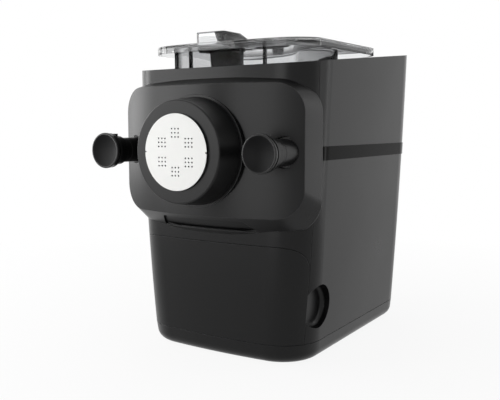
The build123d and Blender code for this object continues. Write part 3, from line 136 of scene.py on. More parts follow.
def plastic(
    name, colour, painted_edge_highlight, roughness, spread, grain_per_metre, grain_depth,
    rounding=0.0006, ior=1.5, specular=0.2,
):
    """Moulded plastic: fine grain, patches of slightly different sheen, and edges painted
    lighter as a painted highlight.
    """
    material = bpy.data.materials.new(name)
    material.use_nodes = True
    shader = material.node_tree.nodes["Principled BSDF"]
    shader.inputs["IOR"].default_value = ior
    shader.inputs["Specular IOR Level"].default_value = specular
    surface = grained(material, grain_per_metre, grain_depth, rounding)
    uneven_roughness(
        material, surface.outputs["Sheen patches"], roughness - spread, roughness + spread,
        patch_low=0.3, patch_high=0.7,
    )
    # painted highlight: the colour goes lighter on the rounded edges
    two_tone(material, surface.outputs["Edge"], colour, painted_edge_highlight)
    return material


def finish_nodes(material, *names):
    """Puts a material on every slot of the CAD nodes named."""
    for name in names:
        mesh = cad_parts[name].data
        if not mesh.materials:
            mesh.materials.append(material)
        for index in range(len(mesh.materials)):
            mesh.materials[index] = material


casing_black = plastic(
    "casing_black", colour=(0.004, 0.004, 0.0042), painted_edge_highlight=(0.02, 0.02, 0.021),
    roughness=0.30, spread=0.03, grain_per_metre=2200, grain_depth=0.000010,
)
finish_nodes(
    casing_black,
    "front_frame", "left_side_panel", "right_side_panel", "rear_cover", "base_plinth",
    "drawer_front",
)

# ---- Front panel: a bowed ABS moulding with a sloping band across its top, smoother than
# the casing, with a stronger painted highlight at its edges. The two clamp knobs hold it to the
# frame.
panel_black = plastic(
    "panel_black", colour=(0.004, 0.004, 0.0042), painted_edge_highlight=(0.055, 0.055, 0.056),
    roughness=0.30, spread=0.03, grain_per_metre=2600, grain_depth=0.000006, rounding=0.0010,
)
finish_nodes(panel_black, "front_panel")

# ---- Extrusion tube and locking ring: glass-filled nylon with a satin skin. The tube is
# threaded, and the ring screws onto it and clamps the die.
ring_black = plastic(
    "ring_black", colour=(0.005, 0.005, 0.0052), painted_edge_highlight=(0.045, 0.045, 0.046),
    roughness=0.36, spread=0.03, grain_per_metre=2600, grain_depth=0.000006,
)
finish_nodes(ring_black, "locking_ring", "extrusion_tube")

# ---- Die: a white acetal disc, drilled with six groups of nine holes and held by the ring.
# The holes are deep and narrow; their walls are painted near black just behind the face as
# painted shade.
die_white = plastic(
    "die_white", colour=(0.89, 0.89, 0.87), painted_edge_highlight=(0.93, 0.93, 0.92),
    roughness=0.32, spread=0.04, grain_per_metre=1400, grain_depth=0.000006, rounding=0.0003,
)
die_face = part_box("die_disc")[0][1]
shade_paint_starts = 0.0001
shade_paint_full = 0.0004
tree = die_white.node_tree
shader = tree.nodes["Principled BSDF"]
place = tree.nodes.new("ShaderNodeTexCoord")
depth = tree.nodes.new("ShaderNodeSeparateXYZ")
tree.links.new(place.outputs["Object"], depth.inputs[0])
# painted shade: hole walls go from the die's colour to near black between these depths behind
# the face
inside = tree.nodes.new("ShaderNodeMapRange")
inside.inputs["From Min"].default_value = die_face + shade_paint_starts
inside.inputs["From Max"].default_value = die_face + shade_paint_full
tree.links.new(depth.outputs["Y"], inside.inputs["Value"])
shaded = tree.nodes.new("ShaderNodeMix")
shaded.data_type = "RGBA"
shaded.inputs["B"].default_value = (0.02, 0.02, 0.02, 1.0)
tree.links.new(inside.outputs["Result"], shaded.inputs["Factor"])
tree.links.new(shader.inputs["Base Color"].links[0].from_socket, shaded.inputs["A"])
tree.links.new(shaded.outputs["Result"], shader.inputs["Base Color"])
finish_nodes(die_white, "die_disc")

# ---- Clamp knobs: satin nylon drums on the steel screws that pull the panel home.
# Each drum has a cap pressed on its end, dished inside a narrow lip, and the round of
# the lip is polished.
knob_black = plastic(
    "knob_black", colour=(0.004, 0.004, 0.0042), painted_edge_highlight=(0.03, 0.03, 0.03),
    roughness=0.34, spread=0.03, grain_per_metre=2600, grain_depth=0.000005,
)
finish_nodes(knob_black, "left_knob", "right_knob")
cap_black = plastic(
    "cap_black", colour=(0.003, 0.003, 0.0032), painted_edge_highlight=(0.01, 0.01, 0.01),
    roughness=0.40, spread=0.03, grain_per_metre=2600, grain_depth=0.000004, ior=1.24,
)
# The lip's round is painted a little lighter than the cap, and lighter still at its edges, as a
# painted highlight; its polish is the low roughness.
cap_edge_gloss = plastic(
    "cap_edge_gloss", colour=(0.02, 0.02, 0.02), painted_edge_highlight=(0.12, 0.12, 0.12),
    roughness=0.14, spread=0.02, grain_per_metre=400, grain_depth=0.000002, rounding=0.0005,
)
cap_dish = 0.0028
cap_lip = 0.0007
cap_round = 0.0011
dish_steps = 12
round_steps = 6
weld = 0.00001
for side in ("left", "right"):
    low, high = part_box(side + "_knob_cap")
    axis_x = (low[0] + high[0]) / 2
    axis_z = (low[2] + high[2]) / 2
    rim = (high[0] - low[0]) / 2
    hollow = rim - cap_round - cap_lip
    shape = bmesh.new()
    outline = []
    for step in range(dish_steps + 1):
        out = hollow * step / dish_steps
        outline.append((out, low[1] + cap_dish * (1 - (step / dish_steps) ** 2)))
    for step in range(round_steps + 1):
        turn = math.radians(90 * step / round_steps)
        out = rim - cap_round + cap_round * math.sin(turn)
        outline.append((out, low[1] + cap_round * (1 - math.cos(turn))))
    outline.append((rim, high[1] - cap_round))
    outline.append((rim - cap_round, high[1]))
    outline.append((0.0, high[1]))
    corners = [shape.verts.new((axis_x + out, along, axis_z)) for out, along in outline]
    edges = [shape.edges.new(pair) for pair in zip(corners, corners[1:])]
    bmesh.ops.spin(
        shape, geom=corners + edges, cent=(axis_x, 0, axis_z), axis=(0, 1, 0),
        angle=math.tau, steps=72, use_merge=True,
    )
    bmesh.ops.remove_doubles(shape, verts=shape.verts, dist=weld)
    bmesh.ops.recalc_face_normals(shape, faces=shape.faces)
    for face in shape.faces:
        face.smooth = True
        middle = face.calc_center_median()
        out = math.hypot(middle.x - axis_x, middle.z - axis_z)
        face.material_index = 1 if out > hollow and middle.y < high[1] - cap_round else 0
    mesh = bpy.data.meshes.new(side + "_dished_cap")
    shape.to_mesh(mesh)
    shape.free()
    mesh.materials.append(cap_black)
    mesh.materials.append(cap_edge_gloss)
    cap = bpy.data.objects.new(side + "_dished_cap", mesh)
    bpy.context.scene.collection.objects.link(cap)
    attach(cap, side + "_knob")
    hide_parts(side + "_knob_cap")

# ---- Side band, control fascia, display window and mains inlet: polished black acrylic and
# ABS. The band is let into the casing round its sides and rear, and the fascia is bonded to
# the deck behind the lid.
gloss_black = plastic(
    "gloss_black", colour=(0.004, 0.004, 0.0035), painted_edge_highlight=(0.012, 0.012, 0.012),
    roughness=0.12, spread=0.02, grain_per_metre=60, grain_depth=0.00001, rounding=0.0004,
    specular=0.03,
)
finish_nodes(gloss_black, "side_band", "control_fascia", "power_inlet", "display_window")

# ---- Buttons: four small round caps of semi-gloss ABS, with stems that pass the deck to the
# control board. Their tops slope with the fascia.
button_black = plastic(
    "button_black", colour=(0.02, 0.02, 0.021), painted_edge_highlight=(0.05, 0.05, 0.05),
    roughness=0.25, spread=0.03, grain_per_metre=2600, grain_depth=0.000006,
)
finish_nodes(button_black, "power_button", "weigh_button", "program_button", "start_button")

# ---- Marks on the buttons: pale ink, pad printed on the sloping tops. A broken ring with a
# bar for power, a ring with a dot for weighing, three bars for the programs and a triangle
# for start.
mark_grey = plastic(
    "mark_grey", colour=(0.42, 0.42, 0.43), painted_edge_highlight=(0.5, 0.5, 0.5),
    roughness=0.4, spread=0.04, grain_per_metre=1800, grain_depth=0.000002, rounding=0.0001,
)
strip_tilt = math.radians(6.1)
button_radius = 0.008
ink = 0.00006
ink_line = 0.0006


def ink_arc(shape, radius, width, first, sweep):
    """Arc of ink round the middle of a button, from one angle through a sweep."""
    turn = math.radians(first)
    ends = [
        shape.verts.new((out * math.cos(turn), out * math.sin(turn), 0))
        for out in (radius - width / 2, radius + width / 2)
    ]
    edge = shape.edges.new(ends)
    bmesh.ops.spin(
        shape, geom=ends + [edge], cent=(0, 0, 0), axis=(0, 0, 1),
        angle=math.radians(sweep), steps=36, use_merge=sweep == 360,
    )


def ink_bar(shape, middle, wide, tall):
    """Straight bar of ink with its middle at a place on a button."""
    bar = bmesh.ops.create_grid(shape, x_segments=1, y_segments=1, size=0.5)["verts"]
    bmesh.ops.scale(shape, vec=(wide, tall, 1), verts=bar)
    bmesh.ops.translate(shape, vec=(*middle, 0), verts=bar)


for button in ("power_button", "weigh_button", "program_button", "start_button"):
    shape = bmesh.new()
    if button == "power_button":
        ink_arc(shape, radius=0.0026, width=ink_line, first=120, sweep=300)
        ink_bar(shape, middle=(0, 0.0024), wide=ink_line, tall=0.0024)
    if button == "weigh_button":
        ink_arc(shape, radius=0.0028, width=ink_line, first=0, sweep=360)
        ink_arc(shape, radius=0.0006, width=0.0011, first=0, sweep=360)
    if button == "program_button":
        for row in (-0.0019, 0.0, 0.0019):
            ink_bar(shape, middle=(0, row), wide=0.0052, tall=ink_line)
    if button == "start_button":
        bmesh.ops.create_circle(shape, cap_ends=True, segments=3, radius=0.003)
        quarter_back = Matrix.Rotation(math.radians(-90), 3, "Z")
        bmesh.ops.rotate(shape, cent=(0, 0, 0), matrix=quarter_back, verts=shape.verts)
    low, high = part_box(button)
    lift = Matrix.Translation((
        (low[0] + high[0]) / 2,
        low[1] + button_radius * math.cos(strip_tilt),
        high[2] - button_radius * math.sin(strip_tilt) + ink,
    ))
    on_strip = lift @ Matrix.Rotation(strip_tilt, 4, "X")
    bmesh.ops.transform(shape, matrix=on_strip, verts=shape.verts)
    bmesh.ops.recalc_face_normals(shape, faces=shape.faces)
    for face in shape.faces:
        if face.normal.z < 0:
            face.normal_flip()
    mesh = bpy.data.meshes.new(button + "_mark")
    shape.to_mesh(mesh)
    shape.free()
    mesh.materials.append(mark_grey)
    mark = bpy.data.objects.new(button + "_mark", mesh)
    bpy.context.scene.collection.objects.link(mark)
    thicken = mark.modifiers.new("ink", "SOLIDIFY")
    thicken.thickness = 2 * ink
    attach(mark, button)

# ---- Top deck, chassis, drawer tray and runners: inner ABS mouldings with a coarser, duller
# grain than the casing. The deck lies inside the sloping rim, and the runners are screwed to
# the floor of the foot.
deck_black = plastic(
    "deck_black", colour=(0.013, 0.013, 0.0135), painted_edge_highlight=(0.03, 0.03, 0.03),
    roughness=0.45, spread=0.03, grain_per_metre=2000, grain_depth=0.000015,
)
finish_nodes(deck_black, "top_deck", "chassis", "drawer_tray", "drawer_runners")

# ---- Mixing chamber and sealing plate: dark grey food-grade plastic, smooth so that dough
# lets go of it. The plate sits on a collar of the tube and closes the chamber's front.
chamber_grey = plastic(
    "chamber_grey", colour=(0.05, 0.05, 0.053), painted_edge_highlight=(0.08, 0.08, 0.08),
    roughness=0.28, spread=0.04, grain_per_metre=1800, grain_depth=0.000006,
)
finish_nodes(chamber_grey, "mixing_chamber", "sealing_plate")

# ---- Mixing paddle and auger: smooth off-white acetal, pushed onto the drive shaft one in
# front of the other. The auger is one flight wound on a core.
mixer_white = plastic(
    "mixer_white", colour=(0.78, 0.77, 0.74), painted_edge_highlight=(0.84, 0.83, 0.81),
    roughness=0.30, spread=0.04, grain_per_metre=1600, grain_depth=0.000006,
)
finish_nodes(mixer_white, "mixing_paddle", "auger")

# ---- Drive gear and cooling fan: plain cream nylon. The gear sits on the drive shaft, and
# the fan on the rear end of the motor's.
gear_nylon = plastic(
    "gear_nylon", colour=(0.74, 0.72, 0.65), painted_edge_highlight=(0.8, 0.79, 0.74),
    roughness=0.42, spread=0.04, grain_per_metre=1600, grain_depth=0.000008, rounding=0.0003,
)
finish_nodes(gear_nylon, "drive_gear", "cooling_fan")

# ---- Control board and power board: glass-fibre laminate under a green solder mask. One
# hangs on pillars under the deck, the other stands on pillars behind the bulkhead.
board_green = plastic(
    "board_green", colour=(0.03, 0.20, 0.09), painted_edge_highlight=(0.1, 0.3, 0.16),
    roughness=0.3, spread=0.05, grain_per_metre=900, grain_depth=0.00002, rounding=0.0003,
)
finish_nodes(board_green, "control_board", "power_board")

# ---- Shaft seal and front seal: grey silicone, pressed in where the shaft passes the
# chamber's rear wall and where the sealing plate meets the chamber's front edge.
seal_grey = plastic(
    "seal_grey", colour=(0.42, 0.42, 0.43), painted_edge_highlight=(0.5, 0.5, 0.5),
    roughness=0.6, spread=0.05, grain_per_metre=1800, grain_depth=0.00001,
)
finish_nodes(seal_grey, "shaft_seal", "front_seal")

# ---- Feet: four dull black rubber pads under the plinth. The stem of each passes the floor
# of the plinth and bears on a load cell.
foot_rubber = plastic(
    "foot_rubber", colour=(0.02, 0.02, 0.02), painted_edge_highlight=(0.05, 0.05, 0.05),
    roughness=0.75, spread=0.05, grain_per_metre=1500, grain_depth=0.00003,
)
finish_nodes(foot_rubber, "feet")


# ---- Drive shaft, screws, pinion and load cells: turned and ground steel, bright, with a
# fine grain. The screws are those of the clamp knobs, the gearbox and the base.
def metal(name, colour, roughness, grain_per_metre):
    """Bare metal: fine grain, uneven sheen and edges painted slightly brighter as a painted
    highlight.
    """
    material = bpy.data.materials.new(name)
    material.use_nodes = True
    material.node_tree.nodes["Principled BSDF"].inputs["Metallic"].default_value = 1.0
    surface = grained(material, grain_per_metre, grain_depth=0.000006, rounding=0.0003)
    uneven_roughness(
        material, surface.outputs["Sheen patches"], roughness - 0.06, roughness + 0.06
    )
    # painted highlight: edges coloured 15 percent brighter than the metal
    highlight_colour = [min(1.0, 1.15 * channel) for channel in colour]
    two_tone(material, surface.outputs["Edge"], colour, highlight_colour)
    return material


steel = metal("steel", colour=(0.60, 0.60, 0.61), roughness=0.30, grain_per_metre=900)
finish_nodes(
    steel,
    "drive_shaft", "left_clamp_screw", "right_clamp_screw", "base_screws", "gearbox_screws",
    "load_cells", "motor_pinion",
)

# ---- Bearings and clamp bushes: sintered bronze. The bearings are pressed into the gearbox
# and its cover, and the threaded bushes take the clamp screws.
bronze = metal("bronze", colour=(0.62, 0.44, 0.24), roughness=0.38, grain_per_metre=1200)
finish_nodes(bronze, "shaft_bearing", "rear_bearing", "motor_bearing", "clamp_bushes")

# ---- Gearbox housing and cover: die-cast aluminium, left as it comes from the die, with the
# cover held by four screws.
cast_aluminium = metal(
    "cast_aluminium", colour=(0.50, 0.50, 0.51), roughness=0.5, grain_per_metre=1500
)
finish_nodes(cast_aluminium, "gearbox_housing", "gearbox_cover")

# ---- Motor: a can of drawn, zinc-plated steel behind the gearbox cover. Its pinion meshes
# with the drive gear inside the gearbox.
zinc_steel = metal("zinc_steel", colour=(0.42, 0.43, 0.45), roughness=0.36, grain_per_metre=700)
finish_nodes(zinc_steel, "motor")


# ---- Lid cover: clear polycarbonate, set on the deck. A slightly crowned plate with a bowed
# front and a turned-down rim, open where the hopper stands. Where it is seen edge-on its
# colour is painted grey, as painted shade for the dark look of thick clear mouldings.
def clear_plastic(name, colour, edge_on_shade_colour, roughness, edge_from, edge_to, ior):
    """Clear moulding: colour painted darker where a wall turns away from view, as painted shade,
    with a faint ripple from the mould.
    """
    material = bpy.data.materials.new(name)
    material.use_nodes = True
    tree = material.node_tree
    shader = tree.nodes["Principled BSDF"]
    shader.inputs["IOR"].default_value = ior
    shader.inputs["Transmission Weight"].default_value = 1.0
    surface = grained(material, grain_per_metre=60.0, grain_depth=0.00005, rounding=0.0004)
    uneven_roughness(material, surface.outputs["Sheen patches"], roughness, 2 * roughness)
    # painted shade: the colour goes dark where a wall turns away from view
    turned = tree.nodes.new("ShaderNodeLayerWeight")
    turned.inputs["Blend"].default_value = 0.5
    edge_on_shade = tree.nodes.new("ShaderNodeMapRange")
    edge_on_shade.interpolation_type = "SMOOTHSTEP"
    edge_on_shade.inputs["From Min"].default_value = edge_from
    edge_on_shade.inputs["From Max"].default_value = edge_to
    tree.links.new(turned.outputs["Facing"], edge_on_shade.inputs["Value"])
    two_tone(material, edge_on_shade.outputs["Result"], colour, edge_on_shade_colour)
    return material


clear_lid = clear_plastic(
    "clear_lid", colour=(0.86, 0.865, 0.87), edge_on_shade_colour=(0.08, 0.08, 0.084),
    roughness=0.02, edge_from=0.45, edge_to=0.95, ior=1.32,
)
cover_half_width = 0.103
cover_front = -0.105
cover_length = 0.196
cover_corner = 0.035
cover_bow = 0.009
cover_rim = 0.0078
cover_wall = 0.0028
cover_height = 0.3323
cover_slope = math.radians(1.0)
cover_strips = 6
strip_width = 0.011
crown_rings = ((0.012, 0.0005), (0.20, 0.0015), (0.30, 0.0022), (0.40, 0.0026))
hopper_low = Vector((-0.038, 0.012, -cover_wall))
hopper_high = Vector((-0.0013, 0.081, 0.0128))
hopper_flat = 0.044
hopper_wall = 0.0022
lid_tilt = (
    Matrix.Translation((0, cover_front, cover_height)) @ Matrix.Rotation(cover_slope, 4, "X")
)
sharp_turn = math.radians(35)
level = 0.9


def lid_piece(name, shape, wall, material):
    """Tilts a shape drawn in the lid's own plane into place, and gives a shell its wall."""
    bmesh.ops.remove_doubles(shape, verts=shape.verts, dist=weld)
    bmesh.ops.recalc_face_normals(shape, faces=shape.faces)
    bmesh.ops.transform(shape, matrix=lid_tilt, verts=shape.verts)
    for face in shape.faces:
        face.smooth = True
    mesh = bpy.data.meshes.new(name)
    shape.to_mesh(mesh)
    shape.free()
    mesh.materials.append(material)
    piece = bpy.data.objects.new(name, mesh)
    bpy.context.scene.collection.objects.link(piece)
    mesh.set_sharp_from_angle(angle=sharp_turn)
    if wall:
        thicken = piece.modifiers.new("wall", "SOLIDIFY")
        thicken.thickness = wall
        thicken.offset = -1.0
    soften = piece.modifiers.new("soft_edges", "BEVEL")
    soften.width = 0.0004
    soften.segments = 2
    soften.limit_method = "ANGLE"
    soften.angle_limit = sharp_turn
    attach(piece, "lid")
    return piece


def upright_box(low, high, corner, segments):
    """Box in the lid's plane with its upright edges rounded."""
    shape = bmesh.new()
    bmesh.ops.create_cube(shape, size=1.0)
    bmesh.ops.scale(shape, vec=Vector(high) - Vector(low), verts=shape.verts)
    bmesh.ops.translate(shape, vec=(Vector(high) + Vector(low)) / 2, verts=shape.verts)
    upright = [e for e in shape.edges if abs(e.verts[0].co.z - e.verts[1].co.z) > weld]
    bmesh.ops.bevel(
        shape, geom=upright, offset=corner, offset_type="OFFSET", segments=segments,
        profile=0.5, affect="EDGES", material=-1,
    )
    return shape


def cut_across(shape, point, normal):
    """Cuts every face of a shape along a plane and keeps both sides."""
    geometry = shape.verts[:] + shape.edges[:] + shape.faces[:]
    bmesh.ops.bisect_plane(shape, geom=geometry, plane_co=point, plane_no=normal)


def drop_faces(shape, unwanted):
    """Deletes the faces that a test picks out."""
    doomed = [face for face in shape.faces if unwanted(face)]
    bmesh.ops.delete(shape, geom=doomed, context="FACES")


cover = upright_box(
    (-cover_half_width, 0, -cover_rim), (cover_half_width, cover_length, 0), cover_corner,
    segments=14,
)
for step in range(-cover_strips, cover_strips + 1):
    cut_across(cover, (step * strip_width, 0, 0), (1, 0, 0))
for vert in cover.verts:
    if vert.co.y < cover_corner:
        bow = cover_bow * (vert.co.x / cover_half_width) ** 2
        vert.co.y += bow * (1 - vert.co.y / cover_corner)
drop_faces(cover, lambda face: abs(face.normal.z) > level)
ring = [edge for edge in cover.edges if edge.is_boundary and edge.verts[0].co.z > -cover_rim / 2]
middle = Vector((0, cover_length / 2, 0))
for shrink, rise in crown_rings:
    grown = bmesh.ops.extrude_edge_only(cover, edges=ring)["geom"]
    corners = [part for part in grown if isinstance(part, bmesh.types.BMVert)]
    ring = [part for part in grown if isinstance(part, bmesh.types.BMEdge)]
    for vert in corners:
        vert.co += (middle - vert.co) * shrink
        vert.co.z = rise
bmesh.ops.holes_fill(cover, edges=ring, sides=0)
opening_left = hopper_low.x + hopper_wall
opening_right = hopper_high.x - hopper_wall
opening_front = hopper_low.y + hopper_wall
for point, normal in (
    ((opening_left, 0, 0), (1, 0, 0)),
    ((opening_right, 0, 0), (1, 0, 0)),
    ((0, opening_front, 0), (0, 1, 0)),
    ((0, hopper_flat, 0), (0, 1, 0)),
):
    cut_across(cover, point, normal)
drop_faces(
    cover,
    lambda face: face.normal.z > 0.5
    and opening_left < face.calc_center_median().x < opening_right
    and opening_front < face.calc_center_median().y < hopper_flat,
)
lid_cover = lid_piece("lid_cover", cover, wall=cover_wall, material=clear_lid)
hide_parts("lid")

# ---- Lid skirt: a clear wall with round corners, moulded in one with the cover, that reaches
# into the chamber. Its index is set low, so that the thin wall bends and mirrors little.
clear_wall = clear_plastic(
    "clear_wall", colour=(0.84, 0.845, 0.85), edge_on_shade_colour=(0.06, 0.06, 0.062),
    roughness=0.02, edge_from=0.2, edge_to=0.7, ior=1.1,
)
skirt_half_width = 0.0763
skirt_corner = 0.030
skirt_front = 0.0055
skirt_rear = 0.151
skirt_drop = 0.031
skirt = upright_box(
    (-skirt_half_width, skirt_front, -skirt_drop), (skirt_half_width, skirt_rear, -cover_wall),
    skirt_corner, segments=12,
)
drop_faces(skirt, lambda face: abs(face.normal.z) > level)
lid_piece("lid_skirt", skirt, wall=hopper_wall, material=clear_wall)

# ---- Filling hopper: a clear box on the cover, open at the top front, where water and
# flour go in. Behind the opening its top slopes down to the cover.
hopper_corner = 0.004
hopper_toe = 0.0012
hopper = upright_box(hopper_low, hopper_high, hopper_corner, segments=6)
cut_across(hopper, (0, hopper_flat, 0), (0, 1, 0))
for vert in hopper.verts:
    if vert.co.z > 0 and vert.co.y > hopper_flat + weld:
        along = (vert.co.y - hopper_flat) / (hopper_high.y - hopper_flat)
        vert.co.z -= along * (hopper_high.z - hopper_toe)
drop_faces(
    hopper,
    lambda face: face.normal.z < -level
    or (face.normal.z > 0.98 and face.calc_center_median().y < hopper_flat),
)
lid_piece("lid_hopper", hopper, wall=hopper_wall, material=clear_lid)

# ---- Lid ribs: four upright clear ribs behind the skirt's front wall, moulded with it, which
# stiffen it. They are coloured dark grey as painted shade, for the dark look that light running
# along them gives.
# painted shade: the clear ribs are coloured dark grey
clear_rib = clear_plastic(
    "clear_rib", colour=(0.15, 0.15, 0.155), edge_on_shade_colour=(0.03, 0.03, 0.032),
    roughness=0.03, edge_from=0.2, edge_to=0.8, ior=1.1,
)
rib_places = (-0.0626, -0.0428, 0.0225, 0.0505)
rib_deep = 0.0045
rib_thick = 0.0028
rib_short = 0.004
rib_corner = 0.0005
for number, rib_x in enumerate(rib_places):
    rib = upright_box(
        (rib_x - rib_thick / 2, skirt_front + hopper_wall, -skirt_drop + rib_short),
        (rib_x + rib_thick / 2, skirt_front + hopper_wall + rib_deep, -cover_wall),
        rib_corner, segments=2,
    )
    lid_piece("lid_rib_%d" % number, rib, wall=0, material=clear_rib)

# ---- Spray cup: dark smoked polycarbonate, clipped under the hopper. A small cup with
# drafted walls hangs into the chamber.
smoked = clear_plastic(
    "smoked", colour=(0.13, 0.13, 0.135), edge_on_shade_colour=(0.01, 0.01, 0.01),
    roughness=0.04, edge_from=0.3, edge_to=0.9, ior=1.12,
)
cup_low = Vector((-0.027, 0.019, -0.0265))
cup_high = Vector((0.003, 0.0435, -0.003))
cup_middle = (cup_low + cup_high) / 2
cup_corner = 0.005
cup_draft = 0.003
cup_wall = 0.0016
cup = upright_box(cup_low, cup_high, cup_corner, segments=6)
for vert in cup.verts:
    if vert.co.z < cup_middle.z:
        vert.co.y += cup_draft * (1 if vert.co.y < cup_middle.y else -1)
drop_faces(cup, lambda face: face.normal.z > level)
cup_piece = lid_piece("smoked_cup", cup, wall=cup_wall, material=smoked)
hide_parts("spray_cup")

# ---- Flange of the spray cup: the same smoked plastic, thick enough to look black. It runs
# round the cup's mouth, with its lower front edge drawn back.
smoked_solid = plastic(
    "smoked_solid", colour=(0.004, 0.004, 0.0042), painted_edge_highlight=(0.01, 0.01, 0.01),
    roughness=0.3, spread=0.03, grain_per_metre=200, grain_depth=0.000004, specular=0.05,
)
flange_low = Vector((-0.0385, 0.0145, -0.0085))
flange_high = Vector((0.006, 0.0455, -0.0035))
flange_middle = (flange_low + flange_high) / 2
flange_corner = 0.004
flange_draw = 0.0018
flange_wall = 0.0035
flange = upright_box(flange_low, flange_high, flange_corner, segments=6)
for vert in flange.verts:
    if vert.co.z < flange_middle.z and vert.co.y < flange_middle.y:
        vert.co.y += flange_draw
drop_faces(flange, lambda face: abs(face.normal.z) > level)
lid_piece("smoked_flange", flange, wall=flange_wall, material=smoked_solid)

# ---- Spray beads: a row of seven clear outlet beads along the flange's front edge, where
# the water leaves in fine jets.
bead_count = 7
bead_radius = 0.0013
bead_gap = 0.005
bead_left = -0.034
bead_front = 0.0135
bead_height = -0.0048
for number in range(bead_count):
    bead = bmesh.new()
    bmesh.ops.create_uvsphere(bead, u_segments=12, v_segments=8, radius=bead_radius)
    bead_spot = (bead_left + bead_gap * number, bead_front, bead_height)
    bmesh.ops.translate(bead, vec=bead_spot, verts=bead.verts)
    lid_piece("spray_bead_%d" % number, bead, wall=0, material=clear_lid)


# ---- Studio floor: pale paper that fades into a white surround. The camera, gloss and what
# is seen through the clear lid all meet that white. The share of plain paper that is left
# near the machine keeps its shadow.
def ray_is(tree, *kinds):
    """One where the ray is of any of these kinds, else nought."""
    rays = tree.nodes.new("ShaderNodeLightPath")
    total = rays.outputs[kinds[0]]
    for kind in kinds[1:]:
        both = tree.nodes.new("ShaderNodeMath")
        both.operation = "MAXIMUM"
        tree.links.new(total, both.inputs[0])
        tree.links.new(rays.outputs[kind], both.inputs[1])
        total = both.outputs[0]
    return total


def mix_shaders(tree, share, first, second):
    """Mixes two shaders by a share, from the first at nought to the second at one."""
    mixed = tree.nodes.new("ShaderNodeMixShader")
    tree.links.new(share, mixed.inputs["Fac"])
    tree.links.new(first, mixed.inputs[1])
    tree.links.new(second, mixed.inputs[2])
    return mixed.outputs[0]


shows_white = ("Is Camera Ray", "Is Transmission Ray", "Is Glossy Ray")
floor_mesh = bpy.data.meshes.new("floor")
shape = bmesh.new()
bmesh.ops.create_grid(shape, x_segments=8, y_segments=8, size=6.0)
shape.to_mesh(floor_mesh)
shape.free()
floor = bpy.data.objects.new("floor", floor_mesh)
bpy.context.scene.collection.objects.link(floor)
floor_white = bpy.data.materials.new("floor_white")
floor_white.use_nodes = True
tree = floor_white.node_tree
paper = tree.nodes["Principled BSDF"]
paper.inputs["Base Color"].default_value = (0.9, 0.9, 0.9, 1.0)
paper.inputs["Roughness"].default_value = 0.8
glow = tree.nodes.new("ShaderNodeEmission")
place = tree.nodes.new("ShaderNodeTexCoord")
away = tree.nodes.new("ShaderNodeVectorMath")
away.operation = "LENGTH"
tree.links.new(place.outputs["Object"], away.inputs[0])
fading = tree.nodes.new("ShaderNodeMapRange")
fading.inputs["From Min"].default_value = 0.15
fading.inputs["From Max"].default_value = 0.8
fading.inputs["To Min"].default_value = 0.91
fading.inputs["To Max"].default_value = 1.0
tree.links.new(away.outputs["Value"], fading.inputs["Value"])
share = tree.nodes.new("ShaderNodeMath")
share.operation = "MULTIPLY"
tree.links.new(ray_is(tree, *shows_white), share.inputs[0])
tree.links.new(fading.outputs["Result"], share.inputs[1])
seen = mix_shaders(tree, share.outputs[0], paper.outputs[0], glow.outputs[0])
tree.links.new(seen, tree.nodes["Material Output"].inputs["Surface"])
floor_mesh.materials.append(floor_white)

# ---- Surround: plain white wherever the camera, gloss or a ray through glass meets it, and
# only a trace of even light for everything else.
world = bpy.data.worlds.new("white_surround")
bpy.context.scene.world = world
world.use_nodes = True
tree = world.node_tree
ambient = tree.nodes["Background"]
ambient.inputs["Color"].default_value = (1.0, 1.0, 1.0, 1.0)
ambient.inputs["Strength"].default_value = 0.02
white = tree.nodes.new("ShaderNodeBackground")
white.inputs["Color"].default_value = (1.0, 1.0, 1.0, 1.0)
shown = mix_shaders(tree, ray_is(tree, *shows_white), ambient.outputs[0], white.outputs[0])
tree.links.new(shown, tree.nodes["World Output"].inputs["Surface"])


# ---- Soft boxes: seven stand round the machine, the strongest at its left front, one faces
# it from behind and three hang above. Gloss shows them, the camera and the clear lid don't.
def soft_box(name, spot, aim, width, tall, power):
    """Rectangular lamp at a spot, turned to a point. Sides in metres, power in watts."""
    lamp = bpy.data.lights.new(name, "AREA")
    lamp.shape = "RECTANGLE"
    lamp.size = width
    lamp.size_y = tall
    lamp.energy = power
    placed = bpy.data.objects.new(name, lamp)
    bpy.context.scene.collection.objects.link(placed)
    placed.location = spot
    placed.rotation_mode = "QUATERNION"
    placed.rotation_quaternion = (Vector(aim) - Vector(spot)).to_track_quat("-Z", "Y")
    placed.visible_camera = False
    placed.visible_transmission = False


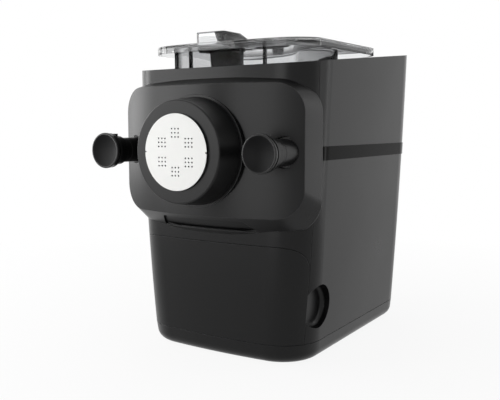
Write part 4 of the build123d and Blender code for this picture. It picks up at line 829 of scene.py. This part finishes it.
# azimuth in degrees from the front towards +X, distance, height of the lower edge, width,
# height, watts
for name, azimuth, distance, base, width, tall, power in (
    ("key_left", -74.0, 1.0, 0.14, 0.34, 0.58, 3.6),
    ("front_left", -42.0, 1.05, 0.08, 0.60, 0.58, 4.6),
    ("front_fill", 0.0, 1.05, 0.0, 0.50, 0.62, 2.6),
    ("right_edge", 127.0, 1.0, 0.0, 0.12, 1.0, 1.3),
    ("right_side", 102.0, 1.1, 0.0, 0.40, 0.8, 1.3),
    ("left_side", -105.0, 1.1, 0.0, 0.4, 0.8, 1.2),
    ("rear_left", -150.0, 1.0, 0.0, 0.5, 0.5, 1.6),
):
    turn = math.radians(azimuth)
    height = base + tall / 2
    spot = (math.sin(turn) * distance, -math.cos(turn) * distance, height)
    soft_box(name, spot, aim=(0, 0, height), width=width, tall=tall, power=power)

# place, point it is turned to, width, height, watts
for name, spot, aim, width, tall, power in (
    ("rear_right", (0.15, 0.75, 0.45), (0.117, 0.0, 0.3), 0.34, 0.8, 0.25),
    ("high_right", (0.62, 0.36, 1.25), (0.1, -0.1, 0.25), 0.4, 0.4, 0.8),
    ("top", (-0.2, -0.1, 1.5), (0, 0, 0.3), 1.0, 1.0, 4.0),
    ("high_rear", (0.1, 0.6, 1.6), (0, 0, 0.3), 0.9, 0.6, 0.6),
):
    soft_box(name, spot, aim, width, tall, power)

# ---- Camera: a 50 mm lens at 0.82 m from the upright axis, 0.24 m above the floor. It
# stands 31 degrees round from the front towards +X and looks 6 degrees down.
camera_data = bpy.data.cameras.new("camera")
camera_data.lens = 50.0
camera_data.sensor_width = 36.0
camera = bpy.data.objects.new("camera", camera_data)
bpy.context.scene.collection.objects.link(camera)
azimuth = math.radians(32.249)
pitch = math.radians(5.969)
camera.location = (0.419039, -0.707258, 0.2439)
facing = Vector((
    -math.sin(azimuth) * math.cos(pitch),
    math.cos(azimuth) * math.cos(pitch),
    -math.sin(pitch),
))
camera.rotation_mode = "QUATERNION"
camera.rotation_quaternion = facing.to_track_quat("-Z", "Y")
bpy.context.scene.camera = camera
bpy.context.scene.view_settings.view_transform = "Standard"
